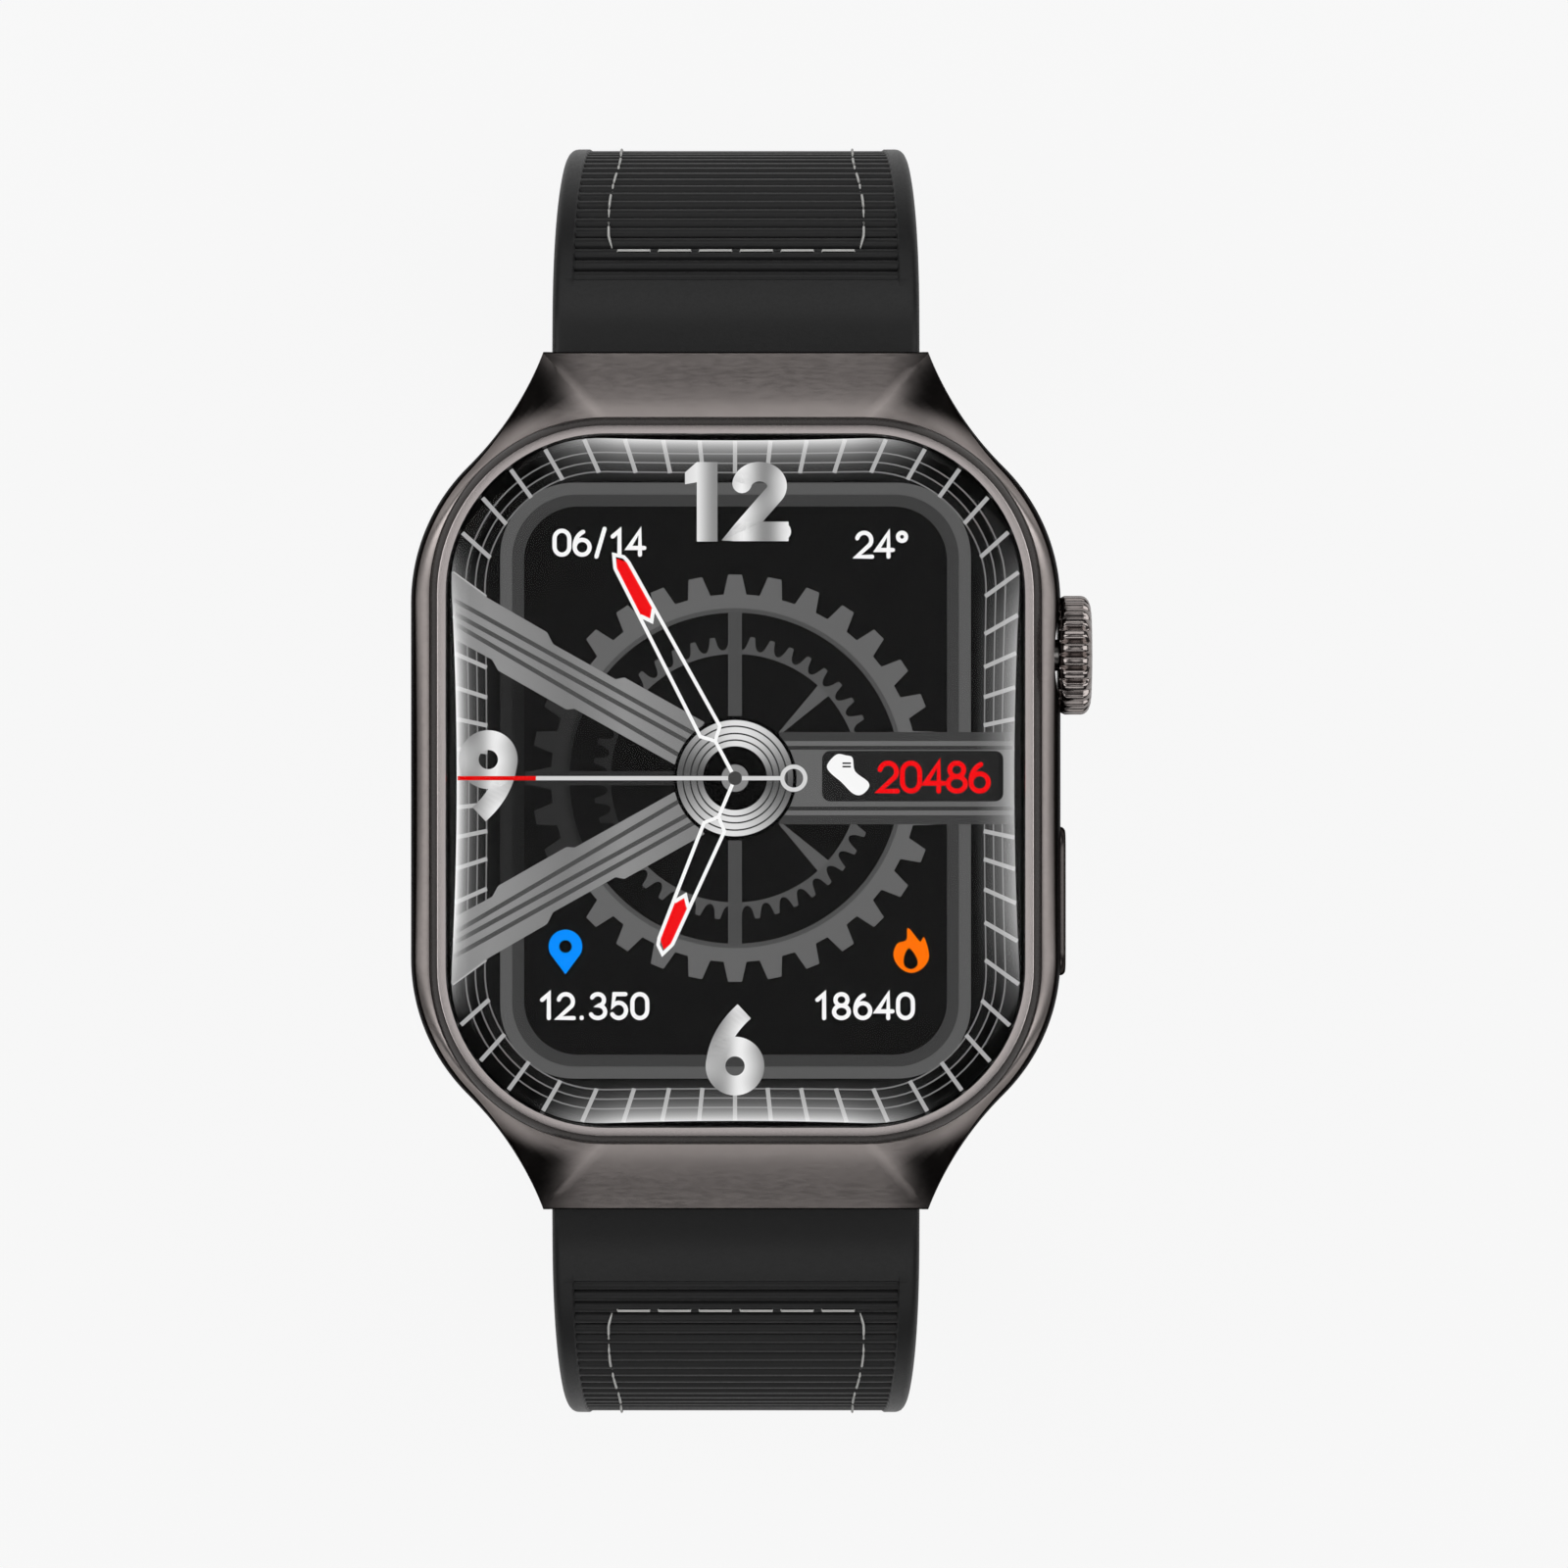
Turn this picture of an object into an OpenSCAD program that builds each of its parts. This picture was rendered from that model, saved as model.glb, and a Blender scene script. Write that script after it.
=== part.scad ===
// Smartwatch with a hooded metal case, a turning crown, a side button and a two-part rubber strap.
// +Z is up, out of the display. +Y points to 12 o'clock, +X to the crown.
// The origin is the centre of the sensor window's outer face, on the back of the case.

/* [Case] */
// Width of the case, without the crown
case_w = 38.8; // [36:0.2:42]
// Length of the case, without the hoods
case_l = 44.2; // [42:0.2:50]
// Radius of the case's corners, seen from the front
corner_r = 11.5; // [9:0.5:13]
// Length from hood end to hood end
lug_to_lug = 51.3; // [50:0.1:58]
// Width of a hood at its end
hood_end_w = 23; // [22.6:0.1:26]
// Radius of the hollow curve between a hood and the case
flare_r = 20; // [16:1:30]
// Height of the metal case, from its back edge to its shoulder
case_h = 8.8; // [8.6:0.1:11]
// Thickness of the side wall
wall = 2.4; // [2:0.1:3]

/* [Bezel and glass] */
// Width of the shoulder that the bezel leaves bare on each side
shoulder_w = 1.25; // [0.8:0.05:2]
// Width of the bezel's sloping outer face
bezel_slope_w = 0.5; // [0.3:0.05:0.8]
// Width of the bezel's flat top
bezel_top_w = 0.5; // [0.3:0.05:1]
// Height of the bezel above the shoulder
bezel_rise = 0.8; // [0.4:0.1:1.2]
// Height of the glass's crown above the bezel
glass_rise = 0.55; // [0.2:0.05:1]
// Thickness of the display panel
display_t = 1.2; // [0.8:0.1:1.6]

/* [Back] */
// Thickness of the back cover
back_t = 1.2; // [1:0.1:1.6]
// How far the sensor window stands out of the back cover
sensor_rise = 1.3; // [0.8:0.1:2]
// Radius of the sensor window, without its hidden flange
sensor_r = 11.3; // [9:0.1:12]
// Radius of the window's flat face
sensor_flat_r = 8; // [6:0.1:9]

/* [Crown and button] */
// Diameter of the crown
crown_d = 7.1; // [6:0.1:7.4]
// How far the crown stands out of the case
crown_out = 1.85; // [1.5:0.05:3]
// Place of the crown's axis along the case
crown_y = 7.5; // [6:0.1:9]
// Travel of the crown when it is pressed
crown_travel = 0.4; // [0.2:0.05:0.45]
// Number of flutes round the crown
crown_flutes = 26; // [16:1:32]
// Length of the side button
button_l = 8.9; // [7:0.1:11]
// Height of the side button
button_h = 2.8; // [2:0.1:4]
// Place of the button's middle along the case
button_y = -7.2; // [-9:0.1:-5]
// How far the button stands out of the case
button_out = 0.3; // [0.25:0.05:0.8]
// Travel of the button
button_travel = 0.25; // [0.1:0.05:0.25]

/* [Strap] */
// Width of the strap at the case
strap_w = 22; // [20:0.1:22]
// Width of the strap where it is narrowest
strap_tip_w = 18.5; // [16:0.5:20]
// Thickness of the strap
strap_t = 2.4; // [2:0.1:2.8]
// Thickness of the strap at its spring bar
root_t = 2.9; // [2.5:0.1:3.2]
// Length of the buckle half, from spring bar to buckle bar
short_l = 64; // [58:1:66]
// Length of the hole half, from spring bar to tip
long_l = 98.5; // [85:0.5:102]
// Number of buckle holes
hole_n = 7; // [4:1:8]
// Distance from hole to hole
hole_pitch = 6.5; // [5:0.5:7]
// Diameter of a buckle hole
hole_d = 2.3; // [2:0.1:3]
// Height of the straight part of the loop
drop_l = 15.6; // [5:1:20]

/* [Buckle and keepers] */
// Length of the buckle from its bar to its outer edge
buckle_l = 13.2; // [11:0.1:14]
// Width of a buckle arm
buckle_arm_w = 1.7; // [1.4:0.1:2.4]
// Thickness of the buckle frame
buckle_t = 2.2; // [1.8:0.1:2.6]
// Length of a keeper along the strap
keeper_l = 4.6; // [3:0.1:6]
// Wall of a keeper
keeper_t = 1.1; // [0.8:0.1:1.5]

/* [Hidden] */
$fn = 48;

// Clearances
fit = 0.05;          // running clearance of a pin in its hole
gap = 0.1;           // clearance round a part that drops into a pocket
slack = 0.15;        // clearance beside a part that swings

// Heights in the case
z_back = sensor_rise;                    // outer face of the back cover
z_shoulder = z_back + case_h;            // top of the metal case
z_bezel = z_shoulder + bezel_rise;       // top of the bezel
z_glass = z_bezel + glass_rise;          // crown of the glass
z_seat = z_shoulder - 0.8;               // floor of the bezel's recess
ledge_t = 0.5;                           // thickness of the ledge under the glass
gasket_t = 0.15;                         // thickness of the glass gasket
z_pane = z_seat + ledge_t + gasket_t;    // underside of the glass
z_panel = z_pane - display_t;            // underside of the display panel
z_inside = z_back + back_t;              // inner face of the back cover
z_axis = z_back + 0.53 * case_h;         // height of the crown's and the button's axes
board_t = 0.6;
z_board = z_inside + 0.5;                // underside of the main board
can_h = 0.7;
z_tray = z_board + board_t + can_h + 0.1; // underside of the mid frame's plate
tray_t = 0.4;
z_floor = z_tray + tray_t;               // where the battery stands

// Outlines in plan
pocket_w = case_w - 2 * wall;
pocket_l = case_l - 2 * wall;
pocket_r = corner_r - wall;
bezel_w = case_w - 2 * shoulder_w;
bezel_l = case_l - 2 * 0.55;
bezel_r = corner_r - 1;
lip_w = bezel_slope_w + bezel_top_w;     // from the bezel's foot to the glass
glass_w = bezel_w - 2 * lip_w;
glass_l = bezel_l - 2 * lip_w;
glass_r = bezel_r - lip_w;
ledge_w = 0.95;                          // how far the ledge reaches under the glass
edge_n = [6, 10, 12, 10];                // points on a quarter of the case: side, corner, flare, end

// Spring bars and hinges
bar_r = 0.9;                             // radius of a spring bar's tube
tip_r = 0.45;                            // radius of a spring bar's tips
bar_y = lug_to_lug / 2 - 1.45;           // hinge axis
bar_z = z_back + 3.2;
root_r = root_t / 2;
boss_r = 1.45;                           // ears round the spring bar's tips
tongue_w = strap_w - 2.2;                // width of the strap between the ears
ear_in = tongue_w / 2 + slack;           // inner face of an ear
ear_out = strap_w / 2 + slack;           // where the hood's side skin starts
tip_out = ear_out - 0.25;                // end of a spring bar's tip
lip_up = 1.9;                            // underside of the hood's lip above the hinge axis
slot_y = bar_y - 2;                      // back wall of the strap's slot
release_travel = 1;

// Route of a strap half in the YZ plane: a short straight, a shoulder, a drop, a turn and a flat
start_a = -13;                           // slope where the strap leaves the case
tangent_y = bar_y + 13.3;                // where the strap's middle line runs straight down
shoulder_r = 14;
start_l = (tangent_y - bar_y - shoulder_r * (1 + sin(start_a))) / cos(start_a);
turn_r = 25.5;
arc_1 = shoulder_r * (90 + start_a) * PI / 180;
arc_2 = turn_r * PI / 2;
s_1 = start_l;
s_2 = s_1 + arc_1;
s_3 = s_2 + drop_l;
s_4 = s_3 + arc_2;
p_1 = [bar_y + s_1 * cos(start_a), bar_z + s_1 * sin(start_a)];
c_1 = p_1 + shoulder_r * [sin(start_a), -cos(start_a)];
c_2 = [tangent_y - turn_r, c_1[1] - drop_l];
z_low = c_2[1] - turn_r;                 // the flat's middle line

// Buckle
buckle_in = strap_tip_w + 0.6;           // space between the buckle's arms
buckle_out = buckle_in + 2 * buckle_arm_w;
buckle_a = 24;                           // how far the buckle tips in from the strap's line
pin_r = 0.75;                            // radius of the buckle bar
barrel_r = 1.55;                         // strap's end round the buckle bar
tang_w = 2.2;
tang_t = 1.3;
keeper_s = [short_l - 14, short_l - 7.5]; // places of the free and the fixed keeper

// ---------------------------------------------------------------- shared shapes

// Slope of the strap's route at the distance s from the spring bar.
function route_a(s) =
    s < s_1 ? start_a :
    s < s_2 ? start_a - (s - s_1) / shoulder_r * 180 / PI :
    s < s_3 ? -90 :
    s < s_4 ? -90 - (s - s_3) / turn_r * 180 / PI : -180;

// Point of the strap's middle line, as [y, z].
function route_p(s) =
    s < s_1 ? [bar_y + s * cos(start_a), bar_z + s * sin(start_a)] :
    s < s_2 ? c_1 + shoulder_r * [-sin(route_a(s)), cos(route_a(s))] :
    s < s_3 ? [tangent_y, c_1[1] - (s - s_2)] :
    s < s_4 ? c_2 + turn_r * [-sin(route_a(s)), cos(route_a(s))] :
    [c_2[0] - (s - s_4), z_low];

// Puts children on the strap: their Y runs along it and their Z points out of the loop.
module on_strap(s, turn = 0) {
    p = route_p(s);
    translate([0, p[0], p[1]]) rotate([route_a(s) + turn, 0, 0]) children();
}

// Smooth step from 0 to 1 between a and b.
function ease(v, a, b) = let (t = max(0, min(1, (v - a) / (b - a)))) t * t * (3 - 2 * t);

// A full outline from its first quarter, which runs from the X axis to the Y axis.
function flip(p, x, y) = [for (k = [0:len(p) - 1]) p[k] * (k == 0 ? x : k == 1 ? y : 1)];
function whole(q) = let (n = len(q) - 1) concat(
    q,
    [for (i = [n - 1:-1:0]) flip(q[i], -1, 1)],
    [for (i = [1:n]) flip(q[i], -1, -1)],
    [for (i = [n - 1:-1:1]) flip(q[i], 1, -1)]
);

// A closed solid through rings of points, which run anticlockwise seen from the last ring.
module loft(rings) {
    n = len(rings[0]);
    m = len(rings);
    centre = function(r) [for (k = [0:2]) [for (p = r) p[k]] * [for (p = r) 1] / n];
    points = concat([for (r = rings) each r], [centre(rings[0]), centre(rings[m - 1])]);
    faces = concat(
        [for (j = [0:m - 2], i = [0:n - 1]) let (a = j * n + i, b = j * n + (i + 1) % n) [a, a + n, b + n, b]],
        [for (i = [0:n - 1]) [n * m, i, (i + 1) % n]],
        [for (i = [0:n - 1]) [n * m + 1, (m - 1) * n + (i + 1) % n, (m - 1) * n + i]]
    );
    tris = [for (f = faces) each len(f) == 3 ? [f] : [[f[0], f[1], f[2]], [f[0], f[2], f[3]]]];
    polyhedron(points, tris, convexity = 6);
}

// Rounded rectangle with true arcs.
module plate_2d(w, l, r) {
    square([w - 2 * r, l], center = true);
    square([w, l - 2 * r], center = true);
    for (x = [-1, 1], y = [-1, 1]) translate([x * (w / 2 - r), y * (l / 2 - r)]) circle(r);
}

module plate(w, l, r, z0, z1) {
    translate([0, 0, z0]) linear_extrude(z1 - z0) plate_2d(w, l, r);
}

module frame_of(w, l, r, t, z0, z1) {
    difference() {
        plate(w, l, r, z0, z1);
        plate(w - 2 * t, l - 2 * t, r - t, z0 - 1, z1 + 1);
    }
}

// Cylinder along X.
module rod(r, x0, x1) {
    translate([x0, 0, 0]) rotate([0, 90, 0]) cylinder(r = r, h = x1 - x0);
}

module ring_x(r_out, r_in, x0, x1) {
    difference() {
        rod(r_out, x0, x1);
        rod(r_in, x0 - 1, x1 + 1);
    }
}

// Stadium shape along Y, pushed along X.
module slot_x(l, h, x0, x1) {
    translate([x0, 0, 0]) rotate([90, 0, 90]) linear_extrude(x1 - x0) {
        square([l - h, h], center = true);
        for (y = [-1, 1]) translate([y * (l - h) / 2, 0]) circle(h / 2);
    }
}

// Box by its two corners.
module block(a, b) {
    translate(a) cube(b - a);
}

// Coil spring along X: radius of the coil's middle line, radius of the wire, ends and turns.
module coil(r, wire, x0, x1, turns) {
    steps = turns * 12;
    sides = 5;
    rings = [for (i = [0:steps]) let (a = i * 30, x = x0 + wire + (x1 - x0 - 2 * wire) * i / steps)
        [for (k = [0:sides - 1]) let (b = k * 360 / sides, d = r + wire * cos(b))
            [x + wire * sin(b), d * cos(a), d * sin(a)]]];
    loft(rings);
}

module crown_place() { translate([0, crown_y, z_axis]) children(); }
module button_place() { translate([0, button_y, z_axis]) children(); }
module bar_place() { translate([0, bar_y, bar_z]) rotate([start_a, 0, 0]) children(); }
module at_6() { mirror([0, 1, 0]) children(); }

screw_r = 0.6;
pad_r = 3.2;
screw_at = [for (x = [-1, 1], y = [-1, 1]) [x * (pocket_w / 2 - 4.8), y * (pocket_l / 2 - 4.5)]];
board_screw_at = [[-6, 17], [6, 17]];
contact_at = [[-3, -15.3], [3, -15.3]];
magnet_at = [[-6.8, -14.6], [6.8, -14.6]];

// ---------------------------------------------------------------- case

// Quarter outline of the case: side, corner arc, hollow flare, hood end.
corner_c = [case_w / 2 - corner_r, case_l / 2 - corner_r];
hood_end = [hood_end_w / 2, lug_to_lug / 2];
flare_c = let (
    d = hood_end - corner_c,
    far = norm(d),
    along = (far * far + pow(corner_r + flare_r, 2) - flare_r * flare_r) / (2 * far),
    side = sqrt(pow(corner_r + flare_r, 2) - along * along)
) corner_c + along * d / far + side * [d[1], -d[0]] / far;
meet_a = atan2(flare_c[1] - corner_c[1], flare_c[0] - corner_c[0]);
end_a = atan2(hood_end[1] - flare_c[1], hood_end[0] - flare_c[0]) + 360;
case_quarter = concat(
    [for (i = [0:edge_n[0] - 1]) [case_w / 2, corner_c[1] * i / edge_n[0]]],
    [for (i = [0:edge_n[1] - 1]) let (a = meet_a * i / edge_n[1]) corner_c + corner_r * [cos(a), sin(a)]],
    [for (i = [0:edge_n[2] - 1]) let (a = meet_a + 180 + (end_a - meet_a - 180) * i / edge_n[2])
        flare_c + flare_r * [cos(a), sin(a)]],
    [for (i = [0:edge_n[3]]) [hood_end[0] * (1 - i / edge_n[3]), hood_end[1]]]
);
// The bezel's foot, with a point for each point of the case's outline.
foot_c = [bezel_w / 2 - bezel_r, bezel_l / 2 - bezel_r];
foot_quarter = concat(
    [for (i = [0:edge_n[0] - 1]) [bezel_w / 2, foot_c[1] * i / edge_n[0]]],
    [for (i = [0:edge_n[1] - 1]) let (a = meet_a * i / edge_n[1]) foot_c + bezel_r * [cos(a), sin(a)]],
    [for (i = [0:edge_n[2] - 1]) let (a = meet_a + (90 - meet_a) * i / edge_n[2])
        foot_c + bezel_r * [cos(a), sin(a)]],
    [for (i = [0:edge_n[3]]) [foot_c[0] * (1 - i / edge_n[3]), bezel_l / 2]]
);

// The case's outline moved in by d, at a height from 0, its back edge, to 1, its shoulder's edge.
hood_low = 1.1;      // the hood's underside above the back edge
hood_high = 2.9;     // the hood's end below the shoulder
function case_ring(d, h) = whole([for (p = case_quarter) let (
    k = ease(p[1], corner_c[1] + 4, lug_to_lug / 2),
    low = z_back + hood_low * k,
    high = z_shoulder - 0.4 - (hood_high - 0.4) * k,
    in = d * (1 - 0.7 * k)
) [p[0] - in * cos(90 * p[1] / hood_end[1]), p[1] - in * sin(90 * p[1] / hood_end[1]), low + (high - low) * h]]);

// Rings over the hood, from the shoulder's edge to the bezel's foot.
function top_ring(u) = let (
    edge = case_ring(0.45, 1),
    foot = whole(foot_quarter)
) [for (i = [0:len(foot) - 1]) [
    edge[i][0] + (foot[i][0] - edge[i][0]) * u,
    edge[i][1] + (foot[i][1] - edge[i][1]) * u,
    edge[i][2] + (z_shoulder - edge[i][2]) * sin(90 * u)
]];

module case_body() {
    loft([
        case_ring(1.3, 0), case_ring(0.5, 0.07), case_ring(0.12, 0.22), case_ring(0, 0.45),
        case_ring(0, 0.65), case_ring(0.15, 0.86), top_ring(0), top_ring(0.35), top_ring(0.7), top_ring(1)
    ]);
}

// Space for a strap's end between the ears, and under the hood's lip.
module strap_slot() {
    far = 6;
    difference() {
        union() {
            block([-ear_out, slot_y, z_back - 1], [ear_out, bar_y + far, bar_z + lip_up]);
        }
        for (m = [0, 1]) mirror([m, 0, 0]) {
            translate([0, bar_y, bar_z]) rod(boss_r, ear_in, ear_out + 1);
            block([ear_in, slot_y - 1, bar_z - boss_r], [ear_out + 1, bar_y, bar_z + boss_r]);
        }
    }
}

module case_frame() color([0.42, 0.39, 0.38]) difference() {
    case_body();
    difference() {
        plate(pocket_w, pocket_l, pocket_r, z_back - 1, z_seat + 1);
        // pads that the back screws thread into
        for (p = screw_at) translate([p[0], p[1], z_inside]) difference() {
            cylinder(r = pad_r, h = z_tray - z_inside);
            translate([0, 0, -1]) cylinder(r = screw_r, h = 9);
        }
    }
    plate(bezel_w + gap, bezel_l + gap, bezel_r + gap / 2, z_seat, z_shoulder + 1);
    for (m = [0, 1]) mirror([0, m, 0]) {
        strap_slot();
        translate([0, bar_y, bar_z]) rod(tip_r + fit, -tip_out - gap, tip_out + gap);
    }
    // crown: a recess for the knob and a bore for the tube
    crown_place() {
        rod(crown_d / 2 + 0.2, case_w / 2 - 0.6, case_w / 2 + 2);
        rod(tube_r + 0.02, pocket_w / 2 - 1, case_w / 2 + 1);
    }
    // side button: a recess for the cap and bores for its stems
    button_place() {
        slot_x(button_l + 2 * fit, button_h + 2 * fit, cap_floor, case_w / 2 + 1);
        for (y = [-1, 0, 1]) translate([0, y * stem_gap, 0]) rod(stem_r + fit, pocket_w / 2 - 1, cap_floor + 1);
    }
    // speaker slots and the microphone's hole, in the other side
    for (y = [0, 1]) translate([0, speaker_y - 2.2 + 4.4 * y, z_axis]) slot_x(3.4, 1, -case_w / 2 - 1, -pocket_w / 2 + 1);
    translate([0, crown_y, z_axis]) rod(0.4, -case_w / 2 - 1, -pocket_w / 2 + 1);
}

// ---------------------------------------------------------------- bezel, glass and display

function plate_ring(w, l, r, z) = whole(concat(
    [for (i = [0:2]) [w / 2, (l / 2 - r) * i / 3]],
    [for (i = [0:14]) let (a = 90 * i / 15) [w / 2 - r + r * cos(a), l / 2 - r + r * sin(a)]],
    [for (i = [0:3]) [(w / 2 - r) * (1 - i / 3), l / 2]]
));
function lift(ring, z) = [for (p = ring) [p[0], p[1], z]];

module bezel_ring() color([0.62, 0.58, 0.57]) difference() {
    loft([
        lift(plate_ring(bezel_w, bezel_l, bezel_r), z_seat),
        lift(plate_ring(bezel_w, bezel_l, bezel_r), z_shoulder),
        lift(plate_ring(bezel_w - 2 * bezel_slope_w, bezel_l - 2 * bezel_slope_w, bezel_r - bezel_slope_w), z_bezel)
    ]);
    plate(glass_w, glass_l, glass_r, z_seat + ledge_t, z_bezel + 1);
    plate(glass_w - 2 * ledge_w, glass_l - 2 * ledge_w, glass_r - ledge_w, z_seat - 1, z_bezel);
}

// A pane whose top rolls down to the bezel along its edge.
module cover_glass() color([0.1, 0.1, 0.12, 0.5]) {
    w = glass_w - gap;
    l = glass_l - gap;
    r = glass_r - gap / 2;
    roll = 2.4;
    loft(concat(
        [lift(plate_ring(w, l, r), z_pane)],
        [for (k = [0:4]) let (a = 90 * k / 4, d = roll * (1 - cos(a)))
            lift(plate_ring(w - 2 * d, l - 2 * d, r - d), z_bezel - 0.1 + (glass_rise + 0.1) * sin(a))]
    ));
}

module glass_gasket() color([0.05, 0.05, 0.05])
    frame_of(glass_w - 2 * gap, glass_l - 2 * gap, glass_r - gap, ledge_w - 2 * gap, z_seat + ledge_t, z_pane);

panel_w = glass_w - 2 * ledge_w - 2 * gap;
panel_l = glass_l - 2 * ledge_w - 2 * gap;
module display_panel() color([0.02, 0.02, 0.03])
    plate(panel_w, panel_l, glass_r - ledge_w - gap, z_panel, z_pane);

flex_y = -pocket_l / 2 + 1.4;
module display_flex() color([0.75, 0.5, 0.15]) {
    block([-4, flex_y, z_board + board_t], [4, flex_y + 0.15, z_panel]);
    block([-4, flex_y + 0.15, z_board + board_t], [4, flex_y + 1.2, z_board + board_t + 0.15]);
}

// ---------------------------------------------------------------- inside the case

tray_w = pocket_w - 2 * gap;
tray_l = pocket_l - 2 * gap;
tray_r = pocket_r - gap;
motor_r = 1.9;
motor_at = [-7, -12.6];
speaker_y = -7.2;
battery_a = [-pocket_w / 2 + 2.2, -3.2];
battery_b = [9.2, 14.8];

module mid_frame() color([0.12, 0.12, 0.13]) difference() {
    union() {
        frame_of(tray_w, tray_l, tray_r, 0.8, z_tray, z_panel);
        plate(tray_w, tray_l, tray_r, z_tray, z_floor);
        for (p = board_screw_at) translate([p[0], p[1], z_board + board_t]) cylinder(r = 1, h = z_tray - z_board - board_t + 0.2);
    }
    for (p = board_screw_at) translate([p[0], p[1], z_board]) cylinder(r = 0.4, h = z_floor - z_board - 0.1);
    // room for the crown's works, the button's switch, the speaker's mouth, the flex and the battery's tab
    crown_place() block([bracket_x - 3.4, -3, z_tray - 1 - z_axis], [pocket_w, 3, z_panel]);
    button_place() block([pocket_w / 2 - 4, -4.4, z_tray - 1 - z_axis], [pocket_w, 4.4, z_panel]);
    block([-pocket_w, speaker_y - 4, z_floor], [-tray_w / 2 + 1, speaker_y + 4, z_panel + 1]);
    block([-4.3, flex_y - 0.3, z_tray - 1], [4.3, flex_y + 1.5, z_floor + 1]);
    block([battery_b[0], -4, z_tray - 1], [battery_b[0] + 1.6, 1.5, z_floor + 1]);
    translate([0, crown_y, z_axis]) rod(0.5, -pocket_w, -tray_w / 2 + 1);
}

battery_top = z_panel - 0.5;
module battery() color([0.75, 0.75, 0.78]) {
    size = battery_b - battery_a;
    translate([(battery_a[0] + battery_b[0]) / 2, (battery_a[1] + battery_b[1]) / 2, 0])
        plate(size[0], size[1], 1.2, z_floor, battery_top);
}

module battery_pad() color([0.1, 0.1, 0.1])
    block([battery_a[0] + 3, battery_a[1] + 3, battery_top], [battery_b[0] - 3, battery_b[1] - 3, z_panel]);

module battery_tab() color([0.8, 0.6, 0.2]) {
    block([battery_b[0], -2.6, z_floor + 1], [battery_b[0] + 0.8, 1.2, z_floor + 1.2]);
    block([battery_b[0] + 0.8, -2.6, z_board + board_t], [battery_b[0] + 1, 1.2, z_floor + 1.2]);
}

module main_board() color([0.05, 0.25, 0.12]) difference() {
    plate(tray_w - 1, tray_l - 1, tray_r - 0.5, z_board, z_board + board_t);
    for (p = screw_at) translate([p[0], p[1], z_board - 1]) cylinder(r = pad_r + slack, h = 4);
    for (p = board_screw_at) translate([p[0], p[1], z_board - 1]) cylinder(r = 0.45, h = 4);
}

module shield_cans() color([0.7, 0.7, 0.72]) {
    top = z_board + board_t;
    block([-12, -2, top], [-1, 9, top + can_h]);
    block([1, 1, top], [8, 10, top + can_h]);
    block([-5, -12, top], [5, -5, top + can_h]);
}

module board_screws() color([0.8, 0.8, 0.82]) for (p = board_screw_at) translate([p[0], p[1], z_board - 0.4]) {
    cylinder(r = 0.9, h = 0.4);
    cylinder(r = 0.38, h = z_floor - z_board);
}

module motor_place() { translate([0, motor_at[1], z_floor + motor_r]) children(); }
module vibration_motor() color([0.8, 0.8, 0.82]) motor_place() difference() {
    rod(motor_r, motor_at[0], motor_at[0] + 8);
    rod(0.4, motor_at[0] + 5, motor_at[0] + 9);
}

module motor_weight() color([0.55, 0.55, 0.5]) motor_place() {
    rod(0.35, motor_at[0] + 5.5, motor_at[0] + 11.5);
    difference() {
        rod(motor_r - 0.1, motor_at[0] + 8.4, motor_at[0] + 11.4);
        block([motor_at[0] + 8, -3, 0.35], [motor_at[0] + 12, 3, 3]);
    }
}

speaker_a = [-pocket_w / 2 + 1.9, speaker_y - 3.4];
module speaker() color([0.15, 0.15, 0.16]) {
    block([speaker_a[0], speaker_a[1], z_floor], [speaker_a[0] + 5.6, speaker_a[1] + 6.8, z_floor + 3]);
    block([-tray_w / 2 + 0.4, speaker_y - 3.2, z_axis - 0.8], [speaker_a[0], speaker_y + 3.2, z_axis + 0.8]);
}

module speaker_mesh() color([0.3, 0.3, 0.32])
    block([-tray_w / 2 + 0.1, speaker_y - 3.9, z_axis - 0.9], [-tray_w / 2 + 0.4, speaker_y + 3.9, z_axis + 0.9]);

module microphone() color([0.7, 0.65, 0.4])
    block([-15.6, crown_y - 1.5, z_board + board_t], [-12.6, crown_y + 1.5, z_board + board_t + can_h]);

// ---------------------------------------------------------------- back of the case

cover_w = pocket_w - 2 * gap;
cover_l = pocket_l - 2 * gap;
flange_r = sensor_r + 1;
contact_r = 1.2;
magnet_r = 1.8;
head_r = 1.1;

module back_cover() color([0.06, 0.06, 0.065]) difference() {
    plate(cover_w, cover_l, pocket_r - gap, z_back, z_inside);
    translate([0, 0, z_back - 1]) cylinder(r = sensor_r + fit, h = 4, $fn = 96);
    translate([0, 0, z_back + 0.2]) cylinder(r = flange_r + fit, h = 4, $fn = 96);
    for (p = screw_at) translate([p[0], p[1], z_back - 1]) {
        cylinder(r = screw_r + fit, h = 4);
        cylinder(r = head_r + fit, h = 1.6);
    }
    for (p = contact_at) translate([p[0], p[1], z_back - 1]) cylinder(r = contact_r + 0.02, h = 4);
    for (p = magnet_at) translate([p[0], p[1], z_back + 0.4]) cylinder(r = magnet_r + 0.02, h = 4);
    frame_of(cover_w - 0.8, cover_l - 0.8, pocket_r - gap - 0.4, 0.8, z_inside - 0.4, z_inside + 1);
}

module back_gasket() color([0.25, 0.25, 0.26])
    frame_of(cover_w - 0.9, cover_l - 0.9, pocket_r - gap - 0.45, 0.7, z_inside - 0.4, z_inside);

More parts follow.
